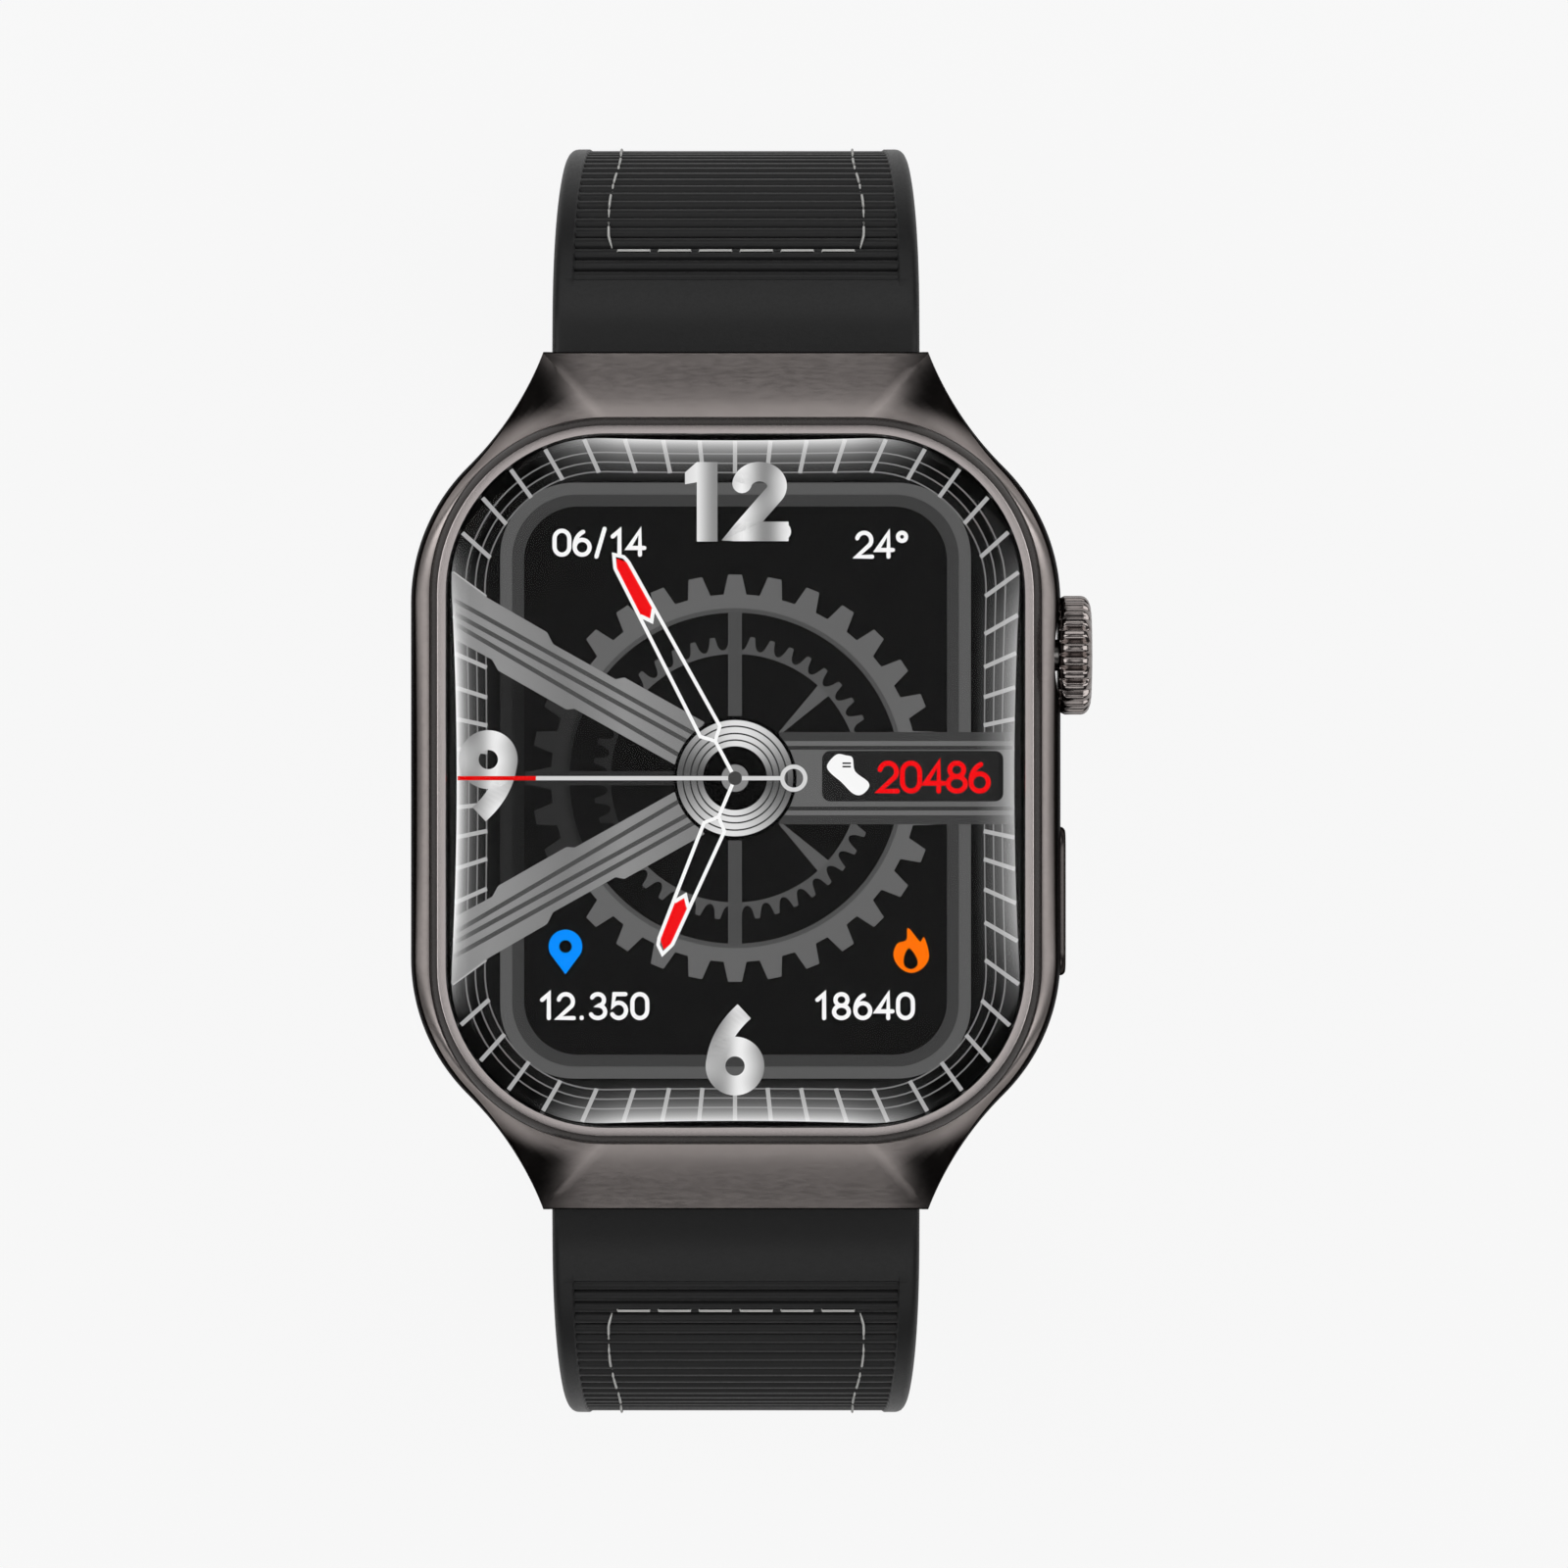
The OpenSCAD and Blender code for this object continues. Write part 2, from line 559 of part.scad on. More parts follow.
module back_screws() color([0.5, 0.48, 0.46]) for (p = screw_at) translate([p[0], p[1], z_back + 0.05]) difference() {
    union() {
        cylinder(r = head_r, h = 0.55);
        cylinder(r = screw_r - 0.02, h = z_tray - z_back - 0.2);
    }
    translate([0, 0, -0.05]) cylinder(r = 0.45, h = 0.4, $fn = 6);
}

module sensor_window() color([0.03, 0.03, 0.035]) rotate_extrude($fn = 96) polygon([
    [0, 0], [sensor_flat_r, 0], [sensor_flat_r + 1.4, 0.15 * sensor_rise], [sensor_r - 0.7, 0.48 * sensor_rise],
    [sensor_r, z_back], [sensor_r, z_back + 0.2], [flange_r, z_back + 0.2], [flange_r, z_back + 0.8],
    [sensor_flat_r + 1.6, z_back + 0.8], [sensor_flat_r + 1.6, 0.8], [0, 0.8]
]);

sensor_board_r = sensor_flat_r + 1.5;
module sensor_board() color([0.05, 0.2, 0.1])
    translate([0, 0, z_back + 0.3]) cylinder(r = sensor_board_r, h = z_board - z_back - 0.3);

module sensor_leds() color([0.3, 0.9, 0.4]) for (a = [0:90:270]) rotate(a)
    block([-0.6, 1.4, 0.8], [0.6, 2.9, z_back + 0.3]);

module photodiodes() color([0.15, 0.1, 0.2]) for (a = [0:90:270]) rotate(a + 45)
    block([-1.1, 4.4, 0.8], [1.1, 6.4, z_back + 0.3]);

module charging_contacts() color([0.85, 0.7, 0.35]) for (p = contact_at) translate([p[0], p[1], z_back])
    cylinder(r = contact_r, h = z_board - z_back);

module charging_magnets() color([0.6, 0.6, 0.62]) for (p = magnet_at) translate([p[0], p[1], z_back + 0.4])
    cylinder(r = magnet_r, h = z_board - z_back - 0.4);

// ---------------------------------------------------------------- crown and side button

tube_r = 1.5;
shaft_r = 0.95;
knob_in = case_w / 2 - 0.15;             // the knob's inner face, inside the case's recess
knob_out = case_w / 2 + crown_out;
tube_in = pocket_w / 2 - 0.8;
bracket_x = tube_in - 2.2;               // outer face of the crown's bracket
shaft_in = bracket_x - 0.5;

module crown_tube() color([0.6, 0.58, 0.55]) crown_place() ring_x(tube_r, shaft_r + fit, tube_in, case_w / 2 - 0.6);

module crown_shaft() color([0.7, 0.7, 0.7]) crown_place() difference() {
    rod(shaft_r, shaft_in, knob_in + 0.9);
    ring_x(shaft_r + 1, 0.62, tube_in + 1.2, tube_in + 1.8);
}

module crown_seal() color([0.1, 0.1, 0.1]) crown_place() translate([tube_in + 1.5, 0, 0]) rotate([0, 90, 0])
    rotate_extrude() translate([0.81, 0]) circle(0.17);

module crown_clip() color([0.6, 0.6, 0.6]) crown_place() ring_x(1.7, shaft_r, tube_in - 0.45, tube_in - fit);

// The fluted knob: a disc with a rounded outer rim and half-round grooves.
module crown_knob() color([0.35, 0.32, 0.31]) crown_place() difference() {
    rotate([0, 90, 0]) rotate_extrude($fn = 96) polygon(concat(
        [[0, knob_out], [0, knob_in], [crown_d / 2 - 0.3, knob_in], [crown_d / 2, knob_in + 0.25]],
        [for (i = [0:6]) let (a = 90 * i / 6, r = 0.5) [crown_d / 2 - r + r * cos(a), knob_out - 0.15 - r + r * sin(a)]]
    ));
    for (i = [0:crown_flutes - 1]) rotate([360 * i / crown_flutes, 0, 0]) translate([0, 0, crown_d / 2 + 0.08])
        rod(0.24, knob_in - 1, knob_out - 0.35);
    rod(shaft_r, knob_in - 1, knob_in + 0.9);
}

module encoder_wheel() color([0.9, 0.9, 0.9]) crown_place() difference() {
    rod(1.8, bracket_x + 0.55, bracket_x + 1.25);
    rod(shaft_r, 0, 40);
    for (a = [0:45:315]) rotate([a, 0, 0]) translate([0, 0, 1.8]) rod(0.28, 0, 40);
}

module encoder_sensor() color([0.05, 0.05, 0.05]) crown_place()
    block([bracket_x + 0.2, -1.2, z_board + board_t - z_axis], [bracket_x + 1.6, 1.2, -1.95]);

module crown_bracket() color([0.65, 0.65, 0.66]) crown_place() difference() {
    block([bracket_x - 1.6, -2.4, z_board + board_t - z_axis], [bracket_x, 2.4, 2]);
    rod(1.45, bracket_x - 3, bracket_x + 1);
}

module crown_plunger() color([0.9, 0.9, 0.85]) crown_place() rod(1.4, shaft_in - 0.9, shaft_in);

module crown_switch() color([0.2, 0.2, 0.22]) crown_place() {
    block([shaft_in - 2.6, -1.8, z_board + board_t - z_axis], [shaft_in - 0.9 - crown_travel - 0.15, 1.8, 1.6]);
}

stem_r = 0.6;
stem_gap = 2.6;
cap_floor = case_w / 2 - 1.35;           // floor of the button's recess
cap_in = cap_floor + button_travel + 0.05;
clip_t = 0.35;
seal_r = 0.42;                           // radius of a stem inside its seal
seal_x = pocket_w / 2 + 0.4;

module side_button() color([0.35, 0.32, 0.31]) button_place() {
    slot_x(button_l, button_h, cap_in, case_w / 2 + button_out - 0.15);
    slot_x(button_l - 0.4, button_h - 0.4, cap_in, case_w / 2 + button_out);
    for (y = [-1, 1]) translate([0, y * stem_gap, 0]) {
        rod(stem_r, pocket_w / 2 - clip_t - 0.5, seal_x);
        rod(seal_r, seal_x - 0.1, seal_x + 0.4);
        rod(stem_r, seal_x + 0.3, cap_in + 0.2);
    }
    rod(stem_r, pocket_w / 2 - 1, cap_in + 0.2);
}

module button_clips() color([0.6, 0.6, 0.6]) button_place() for (y = [-1, 1]) translate([0, y * stem_gap, 0])
    ring_x(1.1, stem_r, pocket_w / 2 - clip_t - fit, pocket_w / 2 - fit);

module button_seals() color([0.1, 0.1, 0.1]) button_place() for (y = [-1, 1]) translate([0, y * stem_gap, 0])
    ring_x(stem_r + fit - 0.01, seal_r, seal_x + 0.01, seal_x + 0.29);

module button_switch() color([0.2, 0.2, 0.22]) button_place()
    block([pocket_w / 2 - 3.6, -2, z_board + board_t - z_axis], [pocket_w / 2 - 1 - button_travel - 0.15, 2, 1.2]);

// ---------------------------------------------------------------- strap

// Width of the strap at the distance s, and its thickness.
function width_at(s) = strap_w - (strap_w - strap_tip_w) * ease(s, 4, 38);
function thick_at(s) = root_t - (root_t - strap_t) * ease(s, 2.5, 7);

// One cross-section of the strap, a rectangle with cut corners.
function strap_ring(s, w, t) = let (
    p = route_p(s), a = route_a(s), c = 0.45,
    outline = [
        [w / 2, -t / 2 + c], [w / 2, t / 2 - c], [w / 2 - c, t / 2], [-w / 2 + c, t / 2],
        [-w / 2, t / 2 - c], [-w / 2, -t / 2 + c], [-w / 2 + c, -t / 2], [w / 2 - c, -t / 2]
    ]
) [for (o = outline) [-o[0], p[0] - o[1] * sin(a), p[1] + o[1] * cos(a)]];

// Stations along the strap: close together where it bends.
function stations(from, to) = concat(
    [for (s = [from:1.5:s_3]) s],
    [for (s = [max(from, s_3 + 0.5):2:to - 0.5]) s],
    [to]
);

// The strap from its shoulders at the case to the distance `to`, and its narrow root round the bar.
module strap_blank(to) {
    start = 1.2;
    loft([for (s = stations(start, to)) strap_ring(s, width_at(s), thick_at(s))]);
    bar_place() {
        rod(root_r, -tongue_w / 2, tongue_w / 2);
        block([-tongue_w / 2, 0, 0.1 - root_r], [tongue_w / 2, 2, root_r - 0.1]);
    }
}

lever_x = tongue_w / 2 - 3;             // place of the release lever
module strap_root_cuts() {
    bar_place() {
        rod(bar_r + fit, -20, 20);
        // clears the ears as the strap swings
        for (m = [0, 1]) mirror([m, 0, 0]) rod(boss_r + slack, tongue_w / 2, 20);
        // window for the release lever
        block([lever_x - 2.2, -1.2, -4], [lever_x + 1.2, 1.2, 0]);
    }
}

module strap_12() color([0.11, 0.11, 0.11]) difference() {
    union() {
        strap_blank(short_l);
        on_strap(short_l) rod(barrel_r, -strap_tip_w / 2, strap_tip_w / 2);
    }
    strap_root_cuts();
    on_strap(short_l) {
        rod(pin_r + fit, -20, 20);
        block([-tang_w / 2 - slack, -3.4, -4], [tang_w / 2 + slack, 4, 4]);
    }
}

// The hole half, with a round tip.
tip_round = strap_tip_w / 2 + 0.6;
module strap_6() color([0.11, 0.11, 0.11]) at_6() difference() {
    strap_blank(long_l);
    strap_root_cuts();
    for (i = [0:hole_n - 1]) on_strap(long_l - 20 - i * hole_pitch) translate([0, 0, -4]) cylinder(r = hole_d / 2, h = 8);
    translate([0, route_p(long_l)[0], z_low - 5]) linear_extrude(10) difference() {
        translate([-15, -1]) square([30, tip_round + 1]);
        translate([0, tip_round]) circle(tip_round);
    }
}

// Spring bar: a tube with a fixed tip at one end and room for a sliding tip at the other.
tube_end = tongue_w / 2 - 0.3;
pin_from = tongue_w / 2 - 4.9;          // inner end of the sliding tip
module spring_bar() color([0.75, 0.75, 0.76]) bar_place() {
    rod(tip_r, -tip_out, -tube_end + 0.5);
    difference() {
        rod(bar_r, -tube_end, tube_end);
        rod(tip_r + fit, pin_from - 2, tube_end + 1);
        block([lever_x - release_travel - 0.5, -0.5, -2], [lever_x + 0.5, 0.5, 0]);
    }
}

module release_pin() color([0.65, 0.65, 0.66]) bar_place() {
    rod(tip_r, pin_from, tip_out);
    translate([lever_x, 0, -2]) cylinder(r = 0.38, h = 2);
    translate([lever_x, 0, -2.3]) cylinder(r = 0.6, h = 0.5);
}

module release_spring() color([0.8, 0.8, 0.8]) bar_place() coil(0.33, 0.09, pin_from - 2, pin_from, 5);

module spring_bar_12() { spring_bar(); }
module release_pin_12() { release_pin(); }
module release_spring_12() { release_spring(); }
module spring_bar_6() { at_6() spring_bar(); }
module release_pin_6() { at_6() release_pin(); }
module release_spring_6() { at_6() release_spring(); }

// ---------------------------------------------------------------- buckle and keepers

module buckle_place() { on_strap(short_l, -buckle_a) children(); }

// A flat frame with round corners, and ears that hold the bar.
module buckle_frame() color([0.35, 0.32, 0.31]) buckle_place() difference() {
    union() {
        translate([0, (buckle_l - barrel_r) / 2, -buckle_t / 2]) linear_extrude(buckle_t)
            plate_2d(buckle_out, buckle_l + barrel_r, 2.2);
        for (m = [0, 1]) mirror([m, 0, 0]) rod(barrel_r, buckle_in / 2, buckle_out / 2);
    }
    translate([0, (buckle_l - 2 - 4) / 2, 0])
        linear_extrude(10, center = true) plate_2d(buckle_in, buckle_l - 2 + 4, 0.8);
    rod(tip_r + fit, -buckle_out / 2 - 1, buckle_out / 2 + 1);
    // seat for the tongue's tip
    block([-tang_w / 2 - slack, buckle_l - 3, buckle_t / 2 - 0.3], [tang_w / 2 + slack, buckle_l + 2, 3]);
}

module buckle_bar() color([0.7, 0.7, 0.7]) buckle_place() {
    rod(pin_r, -strap_tip_w / 2 - 0.2, strap_tip_w / 2 + 0.2);
    rod(tip_r, -buckle_out / 2, buckle_out / 2);
}

// The tongue: an eye round the bar and a finger that lies on the frame's far side.
module buckle_tongue() color([0.4, 0.37, 0.36]) buckle_place() difference() {
    union() {
        rod(1.35, -tang_w / 2, tang_w / 2);
        top = buckle_t / 2 - 0.3 + fit + tang_t;
        translate([-tang_w / 2, 0, 0]) rotate([90, 0, 90]) linear_extrude(tang_w) polygon([
            [0, -0.4], [3, 0.2], [5, top - tang_t], [buckle_l + 0.2, top - tang_t],
            [buckle_l + 0.5, top - 0.9], [buckle_l + 0.5, top - 0.5], [buckle_l, top],
            [4, top], [1, 1.3], [0, 1.35]
        ]);
    }
    rod(pin_r + fit, -5, 5);
}

// A loop round both layers of the strap.
module keeper(s) color([0.09, 0.09, 0.09]) {
    w = width_at(s) + 0.5;
    low = -strap_t / 2 - 0.25;
    high = 1.5 * strap_t + 0.5;
    on_strap(s) difference() {
        translate([0, 0, (low + high) / 2]) rotate([90, 0, 0]) linear_extrude(keeper_l, center = true)
            plate_2d(w + 2 * keeper_t, high - low + 2 * keeper_t, 1.2);
        translate([0, 0, (low + high) / 2]) rotate([90, 0, 0]) linear_extrude(keeper_l + 2, center = true)
            plate_2d(w, high - low, 0.3);
    }
}
module fixed_keeper() { keeper(keeper_s[1]); }
module free_keeper() { keeper(keeper_s[0]); }

// ---------------------------------------------------------------- the parts

case_frame();
bezel_ring();
cover_glass();
glass_gasket();
display_panel();
display_flex();
mid_frame();
battery();
battery_pad();
battery_tab();
main_board();
shield_cans();
board_screws();
vibration_motor();
motor_weight();
speaker();
speaker_mesh();
microphone();
back_cover();
back_gasket();
back_screws();
sensor_window();
sensor_board();
sensor_leds();
photodiodes();
charging_contacts();
charging_magnets();
crown_tube();
crown_bracket();
crown_plunger();
crown_switch();
crown_shaft();
crown_knob();
crown_seal();
crown_clip();
encoder_wheel();
encoder_sensor();
side_button();
button_clips();
button_seals();
button_switch();
strap_12();
spring_bar_12();
release_pin_12();
release_spring_12();
strap_6();
spring_bar_6();
release_pin_6();
release_spring_6();
fixed_keeper();
free_keeper();
buckle_frame();
buckle_bar();
buckle_tongue();
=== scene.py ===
"""Looks of the smartwatch. Every length is in millimetres until mesh() turns it into metres.

The frame is the CAD one: +Z out of the display, +Y to 12 o'clock, +X to the crown.
"""
from math import atan2, copysign, cos, degrees, dist, exp, hypot, pi, radians, sin, sqrt

import bmesh
import bpy
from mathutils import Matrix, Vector


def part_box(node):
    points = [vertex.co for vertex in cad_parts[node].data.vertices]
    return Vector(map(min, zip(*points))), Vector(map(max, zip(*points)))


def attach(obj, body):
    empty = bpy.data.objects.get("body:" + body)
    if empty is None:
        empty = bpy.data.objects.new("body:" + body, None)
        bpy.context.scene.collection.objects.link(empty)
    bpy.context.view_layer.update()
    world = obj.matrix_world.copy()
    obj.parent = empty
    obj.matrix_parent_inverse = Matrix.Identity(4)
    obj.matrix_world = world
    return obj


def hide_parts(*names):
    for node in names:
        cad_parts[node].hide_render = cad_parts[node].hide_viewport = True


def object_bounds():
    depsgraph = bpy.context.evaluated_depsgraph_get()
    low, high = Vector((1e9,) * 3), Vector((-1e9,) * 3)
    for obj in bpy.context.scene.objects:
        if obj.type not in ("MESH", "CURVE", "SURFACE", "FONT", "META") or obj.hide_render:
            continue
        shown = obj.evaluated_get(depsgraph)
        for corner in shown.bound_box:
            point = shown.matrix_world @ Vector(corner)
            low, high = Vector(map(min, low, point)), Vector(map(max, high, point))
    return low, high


MM = 0.001
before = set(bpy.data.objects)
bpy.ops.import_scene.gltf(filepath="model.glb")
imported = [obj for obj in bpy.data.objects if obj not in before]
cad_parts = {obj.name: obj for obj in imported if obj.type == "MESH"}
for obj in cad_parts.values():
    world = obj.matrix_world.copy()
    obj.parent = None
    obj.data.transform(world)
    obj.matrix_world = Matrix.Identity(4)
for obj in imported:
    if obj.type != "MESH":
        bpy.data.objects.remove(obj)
cad_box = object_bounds()


def cad(node):
    """Lowest and highest corner of a CAD node, in millimetres."""
    low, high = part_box(node)
    return low / MM, high / MM


# ---- sizes, from the CAD boxes

case_low, case_high = cad("case_frame")
bezel_high, glass_high, panel_high = (cad(node)[1] for node in ("bezel_ring", "cover_glass", "display_panel"))
knob_low, knob_high = cad("crown_knob")
button_low, button_high = cad("side_button")
CASE_HW, HOOD_Y = case_high.x, case_high.y
Z_BACK, Z_SHOULDER = case_low.z, case_high.z
Z_BEZEL, Z_GLASS, Z_PANEL = bezel_high.z, glass_high.z, panel_high.z
CASE_HL = 22.1      # half length of the case without its hoods
CORNER_R = 11.5
HOOD_HW = 11.5      # half width of a hood's straight end
FLARE_R = 20.0      # hollow arc between a hood and the case
BEZEL_HW, BEZEL_HL = bezel_high.x, bezel_high.y
BEZEL_R = 10.5
LIP_W = 1.0         # width of the bezel
CROWN_Y = (knob_low.y + knob_high.y) / 2
AXIS_Z = (knob_low.z + knob_high.z) / 2
BUTTON_Y = (button_low.y + button_high.y) / 2
CORNER = (CASE_HW - CORNER_R, CASE_HL - CORNER_R)
POCKET_R = CORNER_R - 2.4

# Strap route in the YZ plane, the same as the CAD strap's.
BAR_Y, BAR_Z = 24.2, 4.5
START_A = radians(-13)
SHOULDER_R, TURN_R, DROP = 14.0, 25.5, 15.6
TANGENT_Y = BAR_Y + 13.3
S1 = (TANGENT_Y - BAR_Y - SHOULDER_R * (1 + sin(START_A))) / cos(START_A)
S2 = S1 + SHOULDER_R * (pi / 2 + START_A)
S3 = S2 + DROP
S4 = S3 + TURN_R * pi / 2
C1 = (BAR_Y + S1 * cos(START_A) + SHOULDER_R * sin(START_A),
      BAR_Z + S1 * sin(START_A) - SHOULDER_R * cos(START_A))
C2 = (TANGENT_Y - TURN_R, C1[1] - DROP)
SHORT_L, LONG_L = 64.0, 98.5
STRAP_W, TIP_W = 22.0, 18.5


def smooth(v, a, b):
    t = max(0.0, min(1.0, (v - a) / (b - a)))
    return t * t * (3 - 2 * t)


def srgb(*values):
    """Display values from 0 to 1, as linear ones."""
    return tuple(v / 12.92 if v <= 0.04045 else ((v + 0.055) / 1.055) ** 2.4 for v in values)


def grey(v):
    return srgb(v, v, v)


# ---- materials

def add(tree, kind):
    return tree.nodes.new("ShaderNode" + kind)


def socket(tree, node, name, value):
    """Sets an input, or links it if the value is a socket."""
    if isinstance(value, bpy.types.NodeSocket):
        tree.links.new(value, node.inputs[name])
    else:
        node.inputs[name].default_value = value


def noise(tree, scale, detail=3.0, stretch=(1, 1, 1)):
    coord = add(tree, "TexCoord")
    mapping = add(tree, "Mapping")
    mapping.inputs["Scale"].default_value = stretch
    tex = add(tree, "TexNoise")
    tex.inputs["Scale"].default_value = scale
    tex.inputs["Detail"].default_value = detail
    tree.links.new(coord.outputs["Object"], mapping.inputs["Vector"])
    tree.links.new(mapping.outputs["Vector"], tex.inputs["Vector"])
    return tex.outputs["Fac"]


def remap(tree, value, low, high):
    node = add(tree, "MapRange")
    node.inputs["From Min"].default_value = 0.3
    node.inputs["From Max"].default_value = 0.7
    node.inputs["To Min"].default_value = low
    node.inputs["To Max"].default_value = high
    tree.links.new(value, node.inputs["Value"])
    return node.outputs["Result"]


def material(name, color, metallic=0.0, rough=0.5, vary=0.08, grain=900, bump=0.05, depth=0.02,
             stretch=(1, 1, 1), coat=0.0, painted_shading=False, **extra):
    """A principled surface whose colour, roughness and relief vary with fine noise.
    With painted shading, its colour is also dimmed or lifted point by point: painted shade and painted highlight."""
    mat = bpy.data.materials.new(name)
    mat.use_nodes = True
    tree = mat.node_tree
    shader = tree.nodes["Principled BSDF"]
    spots = noise(tree, grain * 0.12, 4.0)
    mix = add(tree, "Mix")
    mix.data_type = "RGBA"
    mix.inputs[6].default_value = (*[c * (1 - vary) for c in color], 1)
    mix.inputs[7].default_value = (*[min(1, c * (1 + vary)) for c in color], 1)
    tree.links.new(spots, mix.inputs[0])
    shown = mix.outputs[2]
    # painted shade and highlight: the colour is scaled by a value stored on each point
    if painted_shading:
        share = add(tree, "Attribute")
        share.attribute_name = "painted_shading"
        dim = add(tree, "VectorMath")
        dim.operation = "SCALE"
        tree.links.new(shown, dim.inputs[0])
        tree.links.new(share.outputs["Fac"], dim.inputs["Scale"])
        shown = dim.outputs[0]
    tree.links.new(shown, shader.inputs["Base Color"])
    fine = noise(tree, grain, 3.0, stretch)
    tree.links.new(remap(tree, fine, rough * 0.88, min(1, rough * 1.12)), shader.inputs["Roughness"])
    relief = add(tree, "Bump")
    relief.inputs["Strength"].default_value = bump
    relief.inputs["Distance"].default_value = depth * MM
    tree.links.new(fine, relief.inputs["Height"])
    tree.links.new(relief.outputs["Normal"], shader.inputs["Normal"])
    shader.inputs["Metallic"].default_value = metallic
    shader.inputs["Coat Weight"].default_value = coat
    for key, value in extra.items():
        socket(tree, shader, key.replace("_", " "), value)
    return mat


GUN = srgb(0.62, 0.59, 0.58)
# the hood's satin gunmetal: painted shade and highlight laid into its colour point by point, and a dark specular tint
# that dims its grazing reflections, which is painted shade
metal_hood = material("gunmetal_satin", GUN, 1, 0.36, grain=5000, bump=0.06, stretch=(0.25, 1, 1), painted_shading=True,
                      Specular_Tint=(0.3, 0.3, 0.3, 1))
# a darker copy of the same gunmetal, painted shade for the case's steep sides; its dark specular tint dims grazing
# reflections, also painted shade
metal_side_painted_shade = material("gunmetal_side_painted_shade", srgb(0.28, 0.265, 0.26), 1, 0.3, grain=9000, bump=0.02,
                      Specular_Tint=(0.12, 0.12, 0.12, 1))
# a lighter copy of the gunmetal: painted highlight for the bezel's top
metal_painted_highlight = material("gunmetal_painted_highlight", srgb(0.7, 0.67, 0.665), 1, 0.24, vary=0.03, grain=9000, bump=0)
# a darker copy of the gunmetal: painted shade for the bezel's slopes and inner wall and for the crown's collar
metal_painted_shade = material("gunmetal_painted_shade", srgb(0.28, 0.265, 0.26), 1, 0.26, grain=9000, bump=0)
metal_crown = material("gunmetal_crown", srgb(0.58, 0.55, 0.54), 1, 0.15, grain=9000, bump=0.008)
steel = material("steel", srgb(0.78, 0.77, 0.76), 1, 0.28, grain=3000, stretch=(0.2, 1, 1))
rubber = material("strap_rubber", srgb(0.07, 0.07, 0.072), 0, 0.42, vary=0.15, grain=6000, bump=0.2, depth=0.03,
                  Specular_IOR_Level=0.35, Sheen_Weight=0.08, Sheen_Roughness=0.35)
thread = material("thread", srgb(0.74, 0.74, 0.73), 0, 0.7, vary=0.2, grain=9000, bump=0.6, depth=0.03)
back_shell = material("ceramic_back", srgb(0.14, 0.14, 0.145), 0, 0.22, grain=800, bump=0.02, coat=0.5)
window = material("sensor_glass", srgb(0.06, 0.06, 0.07), 0, 0.06, grain=300, bump=0.01, coat=1.0)
lens = material("sensor_lens", srgb(0.10, 0.16, 0.12), 0, 0.12, grain=2000, bump=0.03, coat=1.0)
gold = material("gold_contact", srgb(0.9, 0.74, 0.42), 1, 0.25, grain=3000)
black = material("black_border", srgb(0.02, 0.02, 0.02), 0, 0.35, grain=2000, bump=0.02)
dial_black = material("display_black", grey(0.015), 0, 0.4, grain=2000, bump=0, Specular_IOR_Level=0.05)
board = material("circuit_board", srgb(0.08, 0.33, 0.2), 0, 0.45, vary=0.25, grain=1500)
plastic = material("moulded_plastic", srgb(0.2, 0.2, 0.21), 0, 0.5, grain=2500, bump=0.15)
foil = material("cell_foil", srgb(0.75, 0.75, 0.77), 1, 0.4, grain=1200, bump=0.2, depth=0.05)
seal = material("seal_rubber", srgb(0.1, 0.1, 0.1), 0, 0.65, grain=3000)
glass = material("cover_glass", (1, 1, 1), 0, 0.01, vary=0, grain=100, bump=0, Transmission_Weight=1.0, IOR=1.12)


def lit_material(name, clear=False):
    """A surface of the lit display, painted point by point. A clear one lets what is under it through."""
    mat = bpy.data.materials.new(name)
    mat.use_nodes = True
    tree = mat.node_tree
    shader = tree.nodes["Principled BSDF"]
    shader.inputs["Base Color"].default_value = (0, 0, 0, 1)
    shader.inputs["Roughness"].default_value = 0.6
    shader.inputs["Specular IOR Level"].default_value = 0.0
    shader.inputs["Emission Strength"].default_value = 1.0
    paint = add(tree, "Attribute")
    paint.attribute_name = "paint"
    tree.links.new(paint.outputs["Color"], shader.inputs["Emission Color"])
    if clear:
        tree.links.new(paint.outputs["Alpha"], shader.inputs["Alpha"])
    return mat


display = lit_material("display_picture")
# a clear, glowing layer that carries a painted reflection of the glass's rolled rim
painted_reflection_material = lit_material("display_painted_reflection_material", clear=True)
gold_flex = material("flex_film", srgb(0.75, 0.48, 0.15), 0, 0.35, grain=1500)

# ---- mesh helpers

def mesh(name, points, faces, body, mats, stands_for=(), index=None, sharp=32):
    """A piece of the object from points in millimetres."""
    data = bpy.data.meshes.new(name)
    data.from_pydata([Vector(p) * MM for p in points], [], faces)
    obj = bpy.data.objects.new(name, data)
    bpy.context.scene.collection.objects.link(obj)
    for mat in mats if isinstance(mats, (list, tuple)) else [mats]:
        data.materials.append(mat)
    if index:
        data.polygons.foreach_set("material_index", index)
    finish_mesh(obj, sharp)
    if body:
        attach(obj, body)
        if stands_for:
            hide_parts(*([stands_for] if isinstance(stands_for, str) else stands_for))
    return obj


def finish_mesh(obj, sharp):
    """Makes the normals point out, and shades smooth but for edges sharper than an angle."""
    bm = bmesh.new()
    bm.from_mesh(obj.data)
    bmesh.ops.recalc_face_normals(bm, faces=bm.faces)
    bm.to_mesh(obj.data)
    bm.free()
    obj.data.shade_smooth()
    obj.data.set_sharp_from_angle(angle=radians(sharp))


